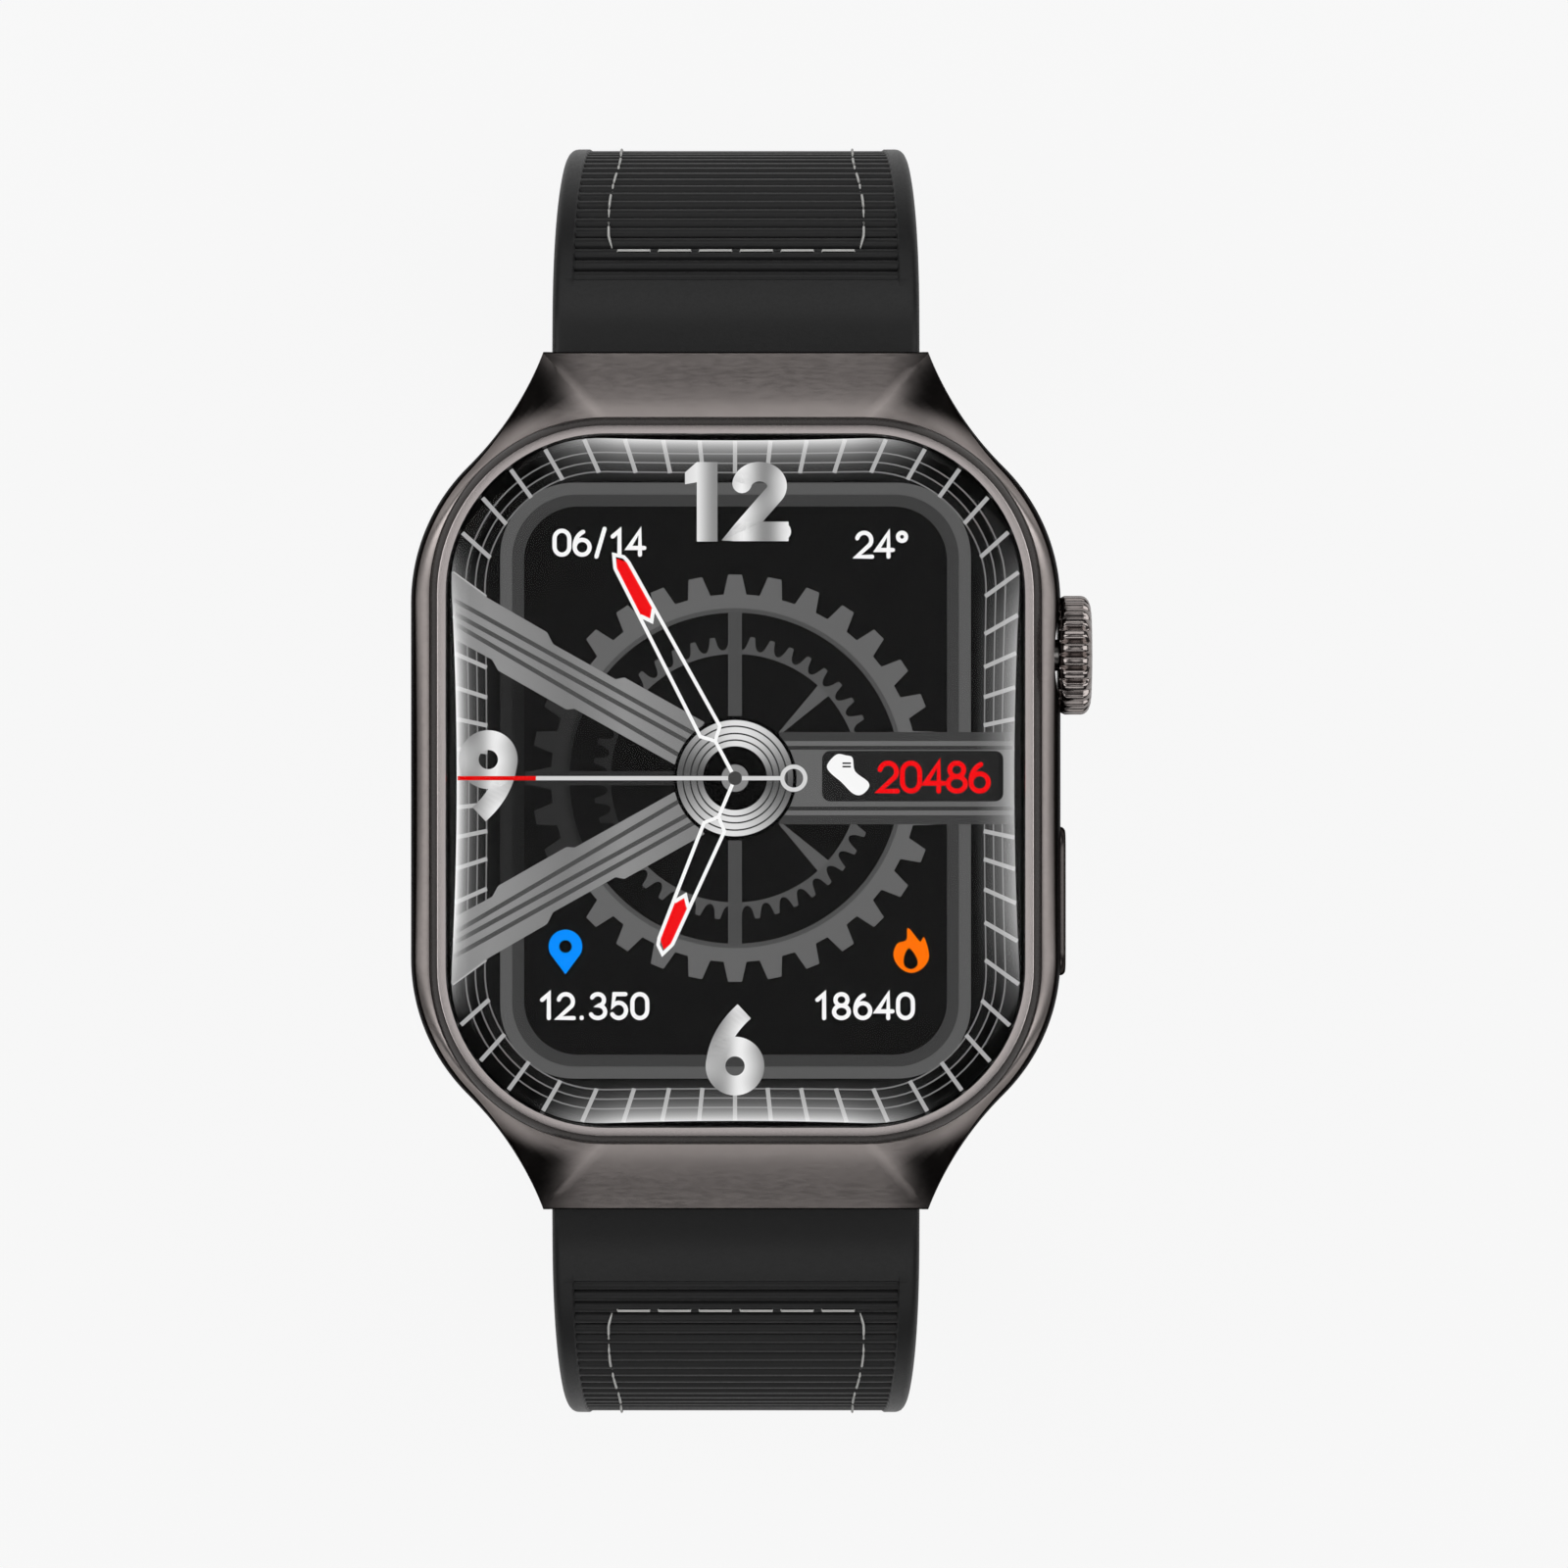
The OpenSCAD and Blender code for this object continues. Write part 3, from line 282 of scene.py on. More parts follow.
def loft_faces(count, size, bands=None, caps=True):
    """Faces through `count` rings of `size` points, and each face's material number."""
    faces, index = [], []
    for j in range(count - 1):
        for i in range(size):
            k = (i + 1) % size
            faces.append((j * size + i, j * size + k, (j + 1) * size + k, (j + 1) * size + i))
            index.append(bands[j] if bands else 0)
    if caps:
        faces += [tuple(reversed(range(size))), tuple(range((count - 1) * size, count * size))]
        index += [bands[0], bands[-1]] if bands else [0, 0]
    return faces, index


def loft(name, rings, body, mats, stands_for=(), bands=None, sharp=32):
    faces, index = loft_faces(len(rings), len(rings[0]), bands)
    return mesh(name, [p for r in rings for p in r], faces, body, mats, stands_for, index, sharp)


def tube_faces(rings):
    """Faces through the rings and from the last ring back to the first."""
    n, last = len(rings[0]), (len(rings) - 1) * len(rings[0])
    faces, index = loft_faces(len(rings), n, caps=False)
    return faces + [(i, (i + 1) % n, last + (i + 1) % n, last + i) for i in range(n)]


def carve(obj, cutters, sharp=32):
    """Cuts closed shapes out of a piece, and removes them."""
    for cutter in cutters:
        cut = obj.modifiers.new("cut", "BOOLEAN")
        cut.operation, cut.solver, cut.object = "DIFFERENCE", "EXACT", cutter
    bpy.context.view_layer.update()
    result = bpy.data.meshes.new_from_object(obj.evaluated_get(bpy.context.evaluated_depsgraph_get()))
    obj.modifiers.clear()
    obj.data = result
    for cutter in cutters:
        bpy.data.objects.remove(cutter)
    obj.data.shade_smooth()
    obj.data.set_sharp_from_angle(angle=radians(sharp))


def quarter_round(hw, hl, r, sides=(6, 12, 6)):
    """First quarter of a rounded rectangle, from the X axis to the Y axis."""
    pts = [(hw, (hl - r) * i / sides[0]) for i in range(sides[0])]
    for i in range(sides[1]):
        a = pi / 2 * i / sides[1]
        pts.append((hw - r + r * cos(a), hl - r + r * sin(a)))
    return pts + [((hw - r) * (1 - i / sides[2]), hl) for i in range(sides[2] + 1)]


def whole(quarter):
    """Mirrors a first quarter into a closed outline. A third value is kept."""
    n = len(quarter) - 1
    return (list(quarter) + [(-p[0], *p[1:]) for p in quarter[n - 1::-1]]
            + [(-p[0], -p[1], *p[2:]) for p in quarter[1:]]
            + [(p[0], -p[1], *p[2:]) for p in quarter[n - 1:0:-1]])


def rounded(hw, hl, r, sides=(6, 12, 6)):
    return whole(quarter_round(hw, hl, r, sides))


def at_z(outline, z):
    return [(p[0], p[1], z) for p in outline]


def cutter(rings):
    """A closed shape to cut with."""
    return loft("cutter", rings, None, black)


def prism(outline, z0, z1):
    return cutter([at_z(outline, z0), at_z(outline, z1)])


def circle_x(y, z, r, x, n=48):
    return [(x, y + r * cos(2 * pi * i / n), z + r * sin(2 * pi * i / n)) for i in range(n)]


def stadium_x(y, z, half_l, half_h, x):
    """Ring of a stadium shape that lies along Y, at one X."""
    pts, n = [], 12
    for side in (1, -1):
        for i in range(n + 1):
            a = -pi / 2 + pi * i / n
            pts.append((x, y + side * (half_l - half_h + half_h * cos(a)), z + side * half_h * sin(a)))
    return pts


def profile_x(name, profile, x0, x1, body, mat, edge):
    """A profile in YZ pushed along X, its two ends rounded by `edge`."""
    cy = sum(p[0] for p in profile) / len(profile)
    cz = sum(p[1] for p in profile) / len(profile)
    rings = []
    for x, inset in ((x0, edge), (x0 + edge * 0.3, edge * 0.3), (x0 + edge, 0),
                     (x1 - edge, 0), (x1 - edge * 0.3, edge * 0.3), (x1, edge)):
        ring = []
        for y, z in profile:
            far = hypot(y - cy, z - cz)
            k = max(0.0, 1 - inset / far)
            ring.append((x, cy + (y - cy) * k, cz + (z - cz) * k))
        rings.append(ring)
    return loft(name, rings, body, mat)


# ---- camera, light and floor

VIEW_H, VIEW_W = 0.6, 0.0930  # camera above the bezel, and width of the picture there, in metres
camera = bpy.data.objects.new("camera", bpy.data.cameras.new("camera"))
bpy.context.scene.collection.objects.link(camera)
camera.location = (0.00288, -0.0002, Z_BEZEL * MM + VIEW_H)
camera.data.sensor_width = 36
camera.data.lens = camera.data.sensor_width * VIEW_H / VIEW_W
camera.data.clip_end = 5
bpy.context.scene.camera = camera
bpy.context.scene.view_settings.view_transform = "Standard"


def softbox(name, direction, distance, size, power):
    lamp = bpy.data.lights.new(name, "AREA")
    lamp.shape, lamp.size, lamp.size_y = "RECTANGLE", size[0], size[1]
    lamp.energy = power
    obj = bpy.data.objects.new(name, lamp)
    obj.location = Vector(direction).normalized() * distance
    obj.rotation_mode = "QUATERNION"
    obj.rotation_quaternion = Vector(direction).to_track_quat("Z", "Y")
    bpy.context.scene.collection.objects.link(obj)


softbox("box_left", (-1.0, 0.15, 0.95), 0.7, (0.5, 0.7), 2.3)
softbox("box_right", (1.0, 0.1, 0.95), 0.7, (0.5, 0.7), 2.3)
softbox("box_top", (0.0, 1.0, 0.75), 0.8, (0.9, 0.35), 1.4)
softbox("box_bottom", (0.0, -1.0, 0.75), 0.8, (0.9, 0.35), 1.2)

world = bpy.data.worlds.new("studio")
bpy.context.scene.world = world
world.use_nodes = True
tree = world.node_tree
sky = tree.nodes["Background"]
seen = add(tree, "LightPath")
aim = add(tree, "TexCoord")
split = add(tree, "SeparateXYZ")
dome = add(tree, "ValToRGB")
# a dim dome, with a bright patch straight overhead
stops = dome.color_ramp.elements
stops[0].color = (0.04, 0.04, 0.04, 1)
for at, value in ((0.97, 0.1), (0.971, 0.85645)):
    stops.new(at).color = (value, value, value, 1)
sky.inputs["Color"].default_value = (1, 1, 1, 1)
level = add(tree, "Mix")
level.inputs[3].default_value = 0.93
tree.links.new(aim.outputs["Generated"], split.inputs[0])
tree.links.new(split.outputs["Z"], dome.inputs["Fac"])
tree.links.new(dome.outputs["Color"], level.inputs[2])
tree.links.new(seen.outputs["Is Camera Ray"], level.inputs[0])
tree.links.new(level.outputs[0], sky.inputs["Strength"])

FLOOR_Z = cad_box[0].z - 0.00002
floor_data = bpy.data.meshes.new("floor")
floor_data.from_pydata([(x * 4, y * 4, FLOOR_Z) for x, y in ((-1, -1), (1, -1), (1, 1), (-1, 1))], [], [(0, 1, 2, 3)])
floor = bpy.data.objects.new("floor", floor_data)
bpy.context.scene.collection.objects.link(floor)
paper = bpy.data.materials.new("paper")
paper.use_nodes = True
tree = paper.node_tree
base = tree.nodes["Principled BSDF"]
base.inputs["Base Color"].default_value = (0.86, 0.86, 0.86, 1)
base.inputs["Roughness"].default_value = 0.9
glow_node = add(tree, "Emission")
glow_node.inputs["Color"].default_value = (0.955, 0.955, 0.955, 1)
blend = add(tree, "MixShader")
path = add(tree, "LightPath")
share = add(tree, "Math")
share.operation = "MULTIPLY"
share.inputs[1].default_value = 0.93
tree.links.new(path.outputs["Is Camera Ray"], share.inputs[0])
tree.links.new(share.outputs[0], blend.inputs[0])
tree.links.new(base.outputs[0], blend.inputs[1])
tree.links.new(glow_node.outputs[0], blend.inputs[2])
tree.links.new(blend.outputs[0], tree.nodes["Material Output"].inputs["Surface"])
floor_data.materials.append(paper)

# ---- case

def flare():
    """Centre of the hollow arc between a hood and the case, and the two angles where it meets them."""
    dx, dy = HOOD_HW - CORNER[0], HOOD_Y - CORNER[1]
    far = hypot(dx, dy)
    reach = CORNER_R + FLARE_R
    along = (far * far + reach * reach - FLARE_R ** 2) / (2 * far)
    side = sqrt(reach * reach - along * along)
    c = (CORNER[0] + along * dx / far + side * dy / far, CORNER[1] + along * dy / far - side * dx / far)
    meet = atan2(c[1] - CORNER[1], c[0] - CORNER[0])
    end = atan2(HOOD_Y - c[1], HOOD_HW - c[0]) + 2 * pi
    return c, meet, end


FLARE_C, MEET_A, END_A = flare()
STEPS = (10, 22, 26, 18)


def case_quarter():
    pts = [(CASE_HW, CORNER[1] * i / STEPS[0]) for i in range(STEPS[0])]
    for i in range(STEPS[1]):
        a = MEET_A * i / STEPS[1]
        pts.append((CORNER[0] + CORNER_R * cos(a), CORNER[1] + CORNER_R * sin(a)))
    for i in range(STEPS[2]):
        a = MEET_A + pi + (END_A - MEET_A - pi) * i / STEPS[2]
        pts.append((FLARE_C[0] + FLARE_R * cos(a), FLARE_C[1] + FLARE_R * sin(a)))
    return pts + [(HOOD_HW * (1 - i / STEPS[3]), HOOD_Y) for i in range(STEPS[3] + 1)]


def foot_quarter(hw, hl, r):
    """Rounded rectangle with a point for each point of the case's outline."""
    cx, cy = hw - r, hl - r
    pts = [(hw, cy * i / STEPS[0]) for i in range(STEPS[0])]
    pts += [(cx + r * cos(MEET_A * i / STEPS[1]), cy + r * sin(MEET_A * i / STEPS[1])) for i in range(STEPS[1])]
    for i in range(STEPS[2]):
        a = MEET_A + (pi / 2 - MEET_A) * i / STEPS[2]
        pts.append((cx + r * cos(a), cy + r * sin(a)))
    return pts + [(cx * (1 - i / STEPS[3]), hl) for i in range(STEPS[3] + 1)]


OUTER = case_quarter()


def hood_share(y):
    return smooth(y, CORNER[1] + 4, HOOD_Y)


def case_ring(inset, h):
    ring = []
    for x, y in OUTER:
        k = hood_share(y)
        low, high = Z_BACK + 1.1 * k, Z_SHOULDER - 0.4 - 2.5 * k
        d, a = inset * (1 - 0.7 * k), pi / 2 * y / HOOD_Y
        ring.append((x - d * cos(a), y - d * sin(a), low + (high - low) * h))
    return whole(ring)


def top_ring(u):
    edge, foot = case_ring(0.5, 1), whole(foot_quarter(BEZEL_HW, BEZEL_HL, BEZEL_R))
    ring = []
    for e, f in zip(edge, foot):
        k = hood_share(abs(e[1]))
        rise = (1 - k) * sin(pi / 2 * u) + k * (u + 0.03 * sin(pi * u))
        z = e[2] + (Z_SHOULDER - e[2]) * rise
        ring.append((e[0] + (f[0] - e[0]) * u, e[1] + (f[1] - e[1]) * u, z))
    return ring


def build_case():
    levels = [(1.3, 0), (0.85, 0.025), (0.5, 0.07), (0.25, 0.14), (0.12, 0.22), (0.03, 0.33), (0, 0.45), (0, 0.58),
              (0.02, 0.7), (0.08, 0.8), (0.2, 0.89), (0.34, 0.955), (0.44, 0.99)]
    rings = [case_ring(*l) for l in levels]
    rings += [top_ring(u) for u in (0.0, 0.12, 0.25, 0.4, 0.55, 0.7, 0.85, 1.0)]
    # the side rings take the darker copy of the gunmetal, painted shade; the top rings take the hood's satin
    bands = [1] * 13 + [0] * 7
    case = loft("case_body", rings, "case", [metal_hood, metal_side_painted_shade], "case_frame", bands, 28)
    pocket = prism(rounded(17.0, 19.7, POCKET_R), Z_BACK - 2, Z_SHOULDER + 1)
    foot = rounded(BEZEL_HW + 0.05, BEZEL_HL + 0.05, BEZEL_R + 0.05, (6, 20, 6))
    cutters = [pocket, prism(foot, Z_SHOULDER - 0.8, Z_SHOULDER + 1)]
    for s in (1, -1):
        far = BAR_Y + 6
        box = [(-11.15, BAR_Y - 2), (11.15, BAR_Y - 2), (11.15, far), (-11.15, far)]
        slot = prism([(x, s * y) for x, y in box], Z_BACK - 1, BAR_Z + 1.9)
        ears = []
        for m in (1, -1):
            ring = [(y * s, z) for y, z in ear_profile()]
            ears.append(cutter([[(m * x, y, z) for y, z in ring] for x in (10.05, 12.5)]))
        carve(slot, ears)
        cutters.append(slot)

    def hole(ring_at, x0, x1):
        return cutter([ring_at(x) for x in (x0, x1)])

    knob_seat = hole(lambda x: circle_x(CROWN_Y, AXIS_Z, 3.75, x), CASE_HW - 0.6, CASE_HW + 2)
    hl, hh = (button_high.y - button_low.y) / 2 + 0.06, (button_high.z - button_low.z) / 2 + 0.06
    key_seat = hole(lambda x: stadium_x(BUTTON_Y, AXIS_Z, hl, hh, x), CASE_HW - 1.35, CASE_HW + 2)
    grilles = [hole(lambda x: stadium_x(y, AXIS_Z, 1.7, 0.5, x), -CASE_HW - 1, -16) for y in (-9.4, -5.0)]
    mic = hole(lambda x: circle_x(CROWN_Y, AXIS_Z, 0.4, x, 20), -CASE_HW - 1, -16)
    carve(case, cutters + [knob_seat, key_seat, mic] + grilles, 28)
    # painted shade and highlight, stored on each point and laid into the hood's colour
    painted_shading = case.data.attributes.new("painted_shading", "FLOAT", "POINT")
    painted_shading.data.foreach_set("value", [painted_shading_at(abs(v.co.x) / MM, abs(v.co.y) / MM) for v in case.data.vertices])
    return case


def painted_shading_at(x, y):
    """Painted shade and highlight in the satin's colour: lighter beside the bezel, dark on the outer side of each
    flare.
    """
    across, along = x - BEZEL_HW + BEZEL_R, y - BEZEL_HL + BEZEL_R
    away = hypot(max(across, 0), max(along, 0)) + min(max(across, along), 0) - BEZEL_R
    turn = degrees(atan2(max(along, 0), max(across, 1e-6)))
    hood = smooth(turn, 60, 88)
    corner = smooth(turn, 4, 26) * (1 - smooth(turn, 72, 86))
    value = 0.55 + (0.45 + 0.25 * smooth(y, 24, HOOD_Y)) * hood
    value *= 1 - 0.92 * corner * smooth(away, 0.3, 1.5)
    return value + (0.45 * hood + 0.7 * corner) * (1 - smooth(away, 0.2, 1.4))


def ear_profile():
    """The ear that holds a spring bar's tip, in YZ."""
    pts = [(BAR_Y + 1.45 * cos(a), BAR_Z + 1.45 * sin(a))
           for a in [radians(-90 + 15 * i) for i in range(13)]]
    return pts + [(BAR_Y - 3.2, BAR_Z + 1.45), (BAR_Y - 3.2, BAR_Z - 1.45)]


build_case()


def build_bezel():
    """The polished ring: its sloping side and inner wall in a darker copy of the metal, painted shade, and its narrow
    top in a lighter copy, painted highlight.
    """
    spec = [(0, Z_SHOULDER - 0.75, 0), (0, Z_SHOULDER + 0.02, 1), (0.1, Z_SHOULDER + 0.25, 1), (0.3, Z_BEZEL - 0.2, 1),
            (0.42, Z_BEZEL - 0.05, 1), (0.46, Z_BEZEL - 0.01, 0), (0.5, Z_BEZEL, 0), (0.95, Z_BEZEL, 0),
            (0.98, Z_BEZEL - 0.04, 1), (1.0, Z_BEZEL - 0.1, 1), (1.0, Z_SHOULDER - 0.75, 1)]
    rings = [at_z(rounded(BEZEL_HW - d, BEZEL_HL - d, BEZEL_R - d, (8, 24, 8)), z) for d, z, b in spec]
    index = [step[2] for step in spec for _ in rings[0]]
    mesh("bezel", [p for r in rings for p in r], tube_faces(rings), "case", [metal_painted_highlight, metal_painted_shade],
         "bezel_ring", index, 22)


def build_glass():
    """A thin domed pane whose rim rolls down behind the bezel."""
    hw, hl, r = glass_high.x, glass_high.y, BEZEL_R - LIP_W - 0.05
    outer, inner = [], []
    roll, thick = 2.4, 0.22
    for k in range(13):
        a = pi / 2 * k / 12
        d = roll * (1 - cos(a))
        z = Z_BEZEL - 0.1 + (Z_GLASS - Z_BEZEL + 0.1) * sin(a)
        outer.append(at_z(rounded(hw - d, hl - d, r - d, (8, 20, 8)), z))
        inner.append(at_z(rounded(hw - d - 0.05, hl - d - 0.05, r - d - 0.05, (8, 20, 8)), z - thick))
    inner[0] = at_z(rounded(hw - 0.05, hl - 0.05, r - 0.05, (8, 20, 8)), Z_PANEL + 0.45)
    outer.insert(0, at_z(rounded(hw, hl, r, (8, 20, 8)), Z_PANEL + 0.45))
    rings = list(reversed(inner)) + outer
    loft("glass_pane", rings, "case", glass, "cover_glass", sharp=60)


build_bezel()
build_glass()

# ---- crown and side button

def build_crown():
    """The fluted knob, and its collar between the knob and the case, in a darker copy of the metal: painted shade."""
    x0, x1, r, n = knob_low.x, knob_high.x, (knob_high.y - knob_low.y) / 2, 26
    rings = []
    for x, inset, cut in ((x0, 0.45, 0), (x0 + 0.03, 0.3, 0.3), (x0 + 0.15, 0.12, 1), (x0 + 0.4, 0, 1),
                          (x1 - 0.6, 0, 1), (x1 - 0.42, 0.05, 1), (x1 - 0.28, 0.16, 0.8), (x1 - 0.16, 0.32, 0.45),
                          (x1 - 0.06, 0.6, 0.1), (x1 - 0.01, 0.95, 0), (x1, 1.5, 0)):
        ring = []
        for i in range(n * 12):
            a = 2 * pi * i / (n * 12)
            groove = 0.3 * (0.5 - 0.5 * cos(n * a)) ** 3 * cut
            ring.append((x, CROWN_Y + (r - inset - groove) * cos(a), AXIS_Z + (r - inset - groove) * sin(a)))
        rings.append(ring)
    loft("crown", rings, "crown", metal_crown, "crown_knob", sharp=50)
    rings = []
    foot, folds = CASE_HW - 0.6, 9
    step = (x0 - 0.47 - foot) / folds  # the collar ends short of the pressed knob
    for k in range(folds):
        x = foot + step * k
        rr = 3.0 if k % 2 else 2.8
        rings += [circle_x(CROWN_Y, AXIS_Z, rr, x), circle_x(CROWN_Y, AXIS_Z, rr, x + step * 0.7)]
    # the collar in the darker copy of the metal: painted shade
    loft("crown_collar", rings, "case", metal_painted_shade)


def build_button():
    hl, hh = (button_high.y - button_low.y) / 2, (button_high.z - button_low.z) / 2
    x0, x1, e = CASE_HW - 1.05, button_high.x, 0.32
    rings = [stadium_x(BUTTON_Y, AXIS_Z, hl, hh, x0), stadium_x(BUTTON_Y, AXIS_Z, hl, hh, x1 - e)]
    for i in range(1, 7):
        a = pi / 2 * i / 6
        d = e * (1 - cos(a))
        rings.append(stadium_x(BUTTON_Y, AXIS_Z, hl - d, hh - d, x1 - e + e * sin(a)))
    # the button takes the darker copy of the gunmetal: painted shade
    loft("button", rings, "button", metal_side_painted_shade, "side_button")


build_crown()
build_button()

# ---- lit display

DIAL = (-0.03, 0.145)       # centre of the hands
PAINT_Z = Z_PANEL + 0.02    # height of the picture, and of one layer on the next
LAYER = 0.014
WHITE, RED = grey(0.97), srgb(0.94, 0.03, 0.05)


class Picture:
    """Flat painted shapes of the display, in millimetres, layer over layer."""

    def __init__(self):
        self.points, self.faces, self.paint = [], [], []

    def face(self, pts, layer, color):
        first = len(self.points)
        for x, y in pts:
            self.points.append((x, y, PAINT_Z + LAYER * layer))
            c = color(x, y) if callable(color) else color
            self.paint.append((*c, 1) if len(c) == 3 else c)
        self.faces.append(tuple(range(first, first + len(pts))))

    def band(self, a, b, layer, color, closed=True):
        for i in range(len(a) if closed else len(a) - 1):
            k = (i + 1) % len(a)
            self.face([a[i], a[k], b[k], b[i]], layer, color)

    def fan(self, pts, layer, color, middle=DIAL):
        for i, p in enumerate(pts):
            self.face([middle, p, pts[(i + 1) % len(pts)]], layer, color)

    def stroke(self, path, width, layer, color, closed=False, caps=True, fine=0.0):
        """A line of even width, with mitred corners and round ends."""
        if fine:
            path = [tuple(a[k] + (b[k] - a[k]) * j / m for k in (0, 1)) for a, b in zip(path, path[1:])
                    for m in [max(1, int(dist(a, b) / fine))] for j in range(m)] + [path[-1]]
        n, left, right = len(path), [], []
        for i, p in enumerate(path):
            before = path[i - 1] if closed or i else None
            after = path[(i + 1) % n] if closed or i < n - 1 else None
            dirs = []
            for a, b in ((before, p), (p, after)):
                if a and b and dist(a, b) > 1e-9:
                    dirs.append(((b[0] - a[0]) / dist(a, b), (b[1] - a[1]) / dist(a, b)))
            tx, ty = sum(d[0] for d in dirs), sum(d[1] for d in dirs)
            size = hypot(tx, ty) or 1
            tx, ty = tx / size, ty / size
            grow = width / 2 / max(0.45, tx * dirs[0][0] + ty * dirs[0][1])
            left.append((p[0] - ty * grow, p[1] + tx * grow))
            right.append((p[0] + ty * grow, p[1] - tx * grow))
        self.band(left, right, layer, color, closed)
        if caps and not closed:
            for end in (0, -1):
                self.fan([(path[end][0] + width / 2 * cos(pi * i / 8),
                           path[end][1] + width / 2 * sin(pi * i / 8)) for i in range(16)],
                         layer, color, path[end])

    def build(self, name, mat):
        obj = mesh(name, self.points, self.faces, "case", mat)
        paint = obj.data.color_attributes.new("paint", "FLOAT_COLOR", "POINT")
        for item, c in zip(paint.data, self.paint):
            item.color = c
        return obj


def circle(r, n=120, centre=DIAL):
    return [(centre[0] + r * cos(2 * pi * i / n), centre[1] + r * sin(2 * pi * i / n))
            for i in range(n)]


def lit_outline(inset, n=(14, 20, 14)):
    """Edge of the lit area: a rounded rectangle whose sides bow inwards a little."""
    pts = rounded(16.95 - inset, 20.42 - inset, max(1, 9.25 - inset), n)
    out = []
    for x, y in pts:
        x -= copysign(0.4 * max(0, 1 - (y / 13) ** 2), x) * (abs(x) / 16.95) ** 8
        y -= copysign(0.22 * max(0, 1 - (x / 10) ** 2), y) * (abs(y) / 20.42) ** 8
        out.append((x, y))
    return out


def reach(outline, angle):
    """Where a ray from the dial's centre meets an outline."""
    c, s = cos(angle), sin(angle)
    for p, q in zip(outline, outline[1:] + outline[:1]):
        u = [((v[0] - DIAL[0]) * c + (v[1] - DIAL[1]) * s, (v[1] - DIAL[1]) * c - (v[0] - DIAL[0]) * s) for v in (p, q)]
        if (u[0][1] <= 0) != (u[1][1] <= 0):
            t = u[0][1] / (u[0][1] - u[1][1])
            far = u[0][0] + (u[1][0] - u[0][0]) * t
            if far > 0:
                return (DIAL[0] + far * c, DIAL[1] + far * s)


def arc(cx, cy, rx, ry, a0, a1, n=16):
    angles = [radians(a0 + (a1 - a0) * i / n) for i in range(n + 1)]
    return [(cx + rx * cos(a), cy + ry * sin(a)) for a in angles]


def bezier(a, b, c):
    steps = [i / 14 for i in range(15)]
    return [tuple((1 - t) ** 2 * a[k] + 2 * t * (1 - t) * b[k] + t * t * c[k] for k in (0, 1)) for t in steps]


def rounded_off(pts, n=6):
    """A smooth closed outline through a few points."""
    out = []
    for i in range(len(pts)):
        p0, p1, p2, p3 = (pts[(i + k) % len(pts)] for k in (-1, 0, 1, 2))
        for j in range(n):
            t = j / n
            out.append(tuple(0.5 * (2 * b + (c - a) * t + (2 * a - 5 * b + 4 * c - d) * t * t
                                    + (3 * b - a - 3 * c + d) * t ** 3) for a, b, c, d in zip(p0, p1, p2, p3)))
    return out


SIX = arc(0.56, 0.36, 0.56, 0.64, 112, 178, 10) + arc(0.31, 0.31, 0.31, 0.31, 180, 538, 30)
SIGNS = {
    "0": [arc(0.31, 0.66, 0.31, 0.34, 0, 180) + arc(0.31, 0.34, 0.31, 0.34, 180, 360) + [(0.62, 0.66)]],
    "1": [[(0.08, 0.76), (0.36, 1.0), (0.36, 0.0)]],
    "2": [arc(0.31, 0.69, 0.3, 0.31, 165, -38) + [(0.0, 0.0), (0.64, 0.0)]],
    "3": [arc(0.3, 0.755, 0.26, 0.245, 155, -90) + arc(0.3, 0.265, 0.31, 0.265, 82, -155)],
    "4": [[(0.48, 0.0), (0.48, 1.0), (0.0, 0.28), (0.66, 0.28)]],
    "5": [[(0.58, 1.0), (0.12, 1.0), (0.06, 0.52)] + arc(0.3, 0.32, 0.31, 0.32, 128, -150)],
    "6": [SIX],
    "7": [[(0.0, 1.0), (0.62, 1.0), (0.22, 0.0)]],
    "8": [arc(0.31, 0.76, 0.25, 0.24, -90, 270, 28), arc(0.31, 0.26, 0.31, 0.26, 90, 450, 28)],
    "9": [[(0.62 - x, 1 - y) for x, y in SIX]],
    "/": [[(0.06, -0.08), (0.4, 1.08)]],
    ".": [[(0.1, 0.0), (0.1, 0.02)]],
    "°": [arc(0.2, 0.83, 0.17, 0.17, 0, 360, 20)],
}
ADVANCE = {"/": 0.72, ".": 0.5, "1": 0.8}


def write(pic, text, x, y, height, weight, layer, color, spacing=1.0):
    for sign in text:
        for path in SIGNS[sign]:
            pic.stroke([(x + px * height, y + py * height) for px, py in path], weight, layer, color)
        x += ADVANCE.get(sign, 0.92) * height * spacing
    return x


def silver(x, y):
    v = 0.74 + 0.2 * cos(2 * pi * (x - 0.35) / 2.9)
    return grey(min(0.97, v))


def rect(x0, y0, x1, y1):
    return [(x0, y0), (x1, y0), (x1, y1), (x0, y1)]


def flip(pts):
    """Mirror image across the dial's horizontal axis."""
    return [(x, 2 * DIAL[1] - y) for x, y in pts]


def shade(v):
    """A grey that falls off in the shadow between the two left arms."""
    def painted_shading(x, y):
        side = atan2(abs(y - DIAL[1]), -(x - DIAL[0]))
        return grey(v * (0.42 if side < radians(31) and x < 0 else 1))
    return painted_shading


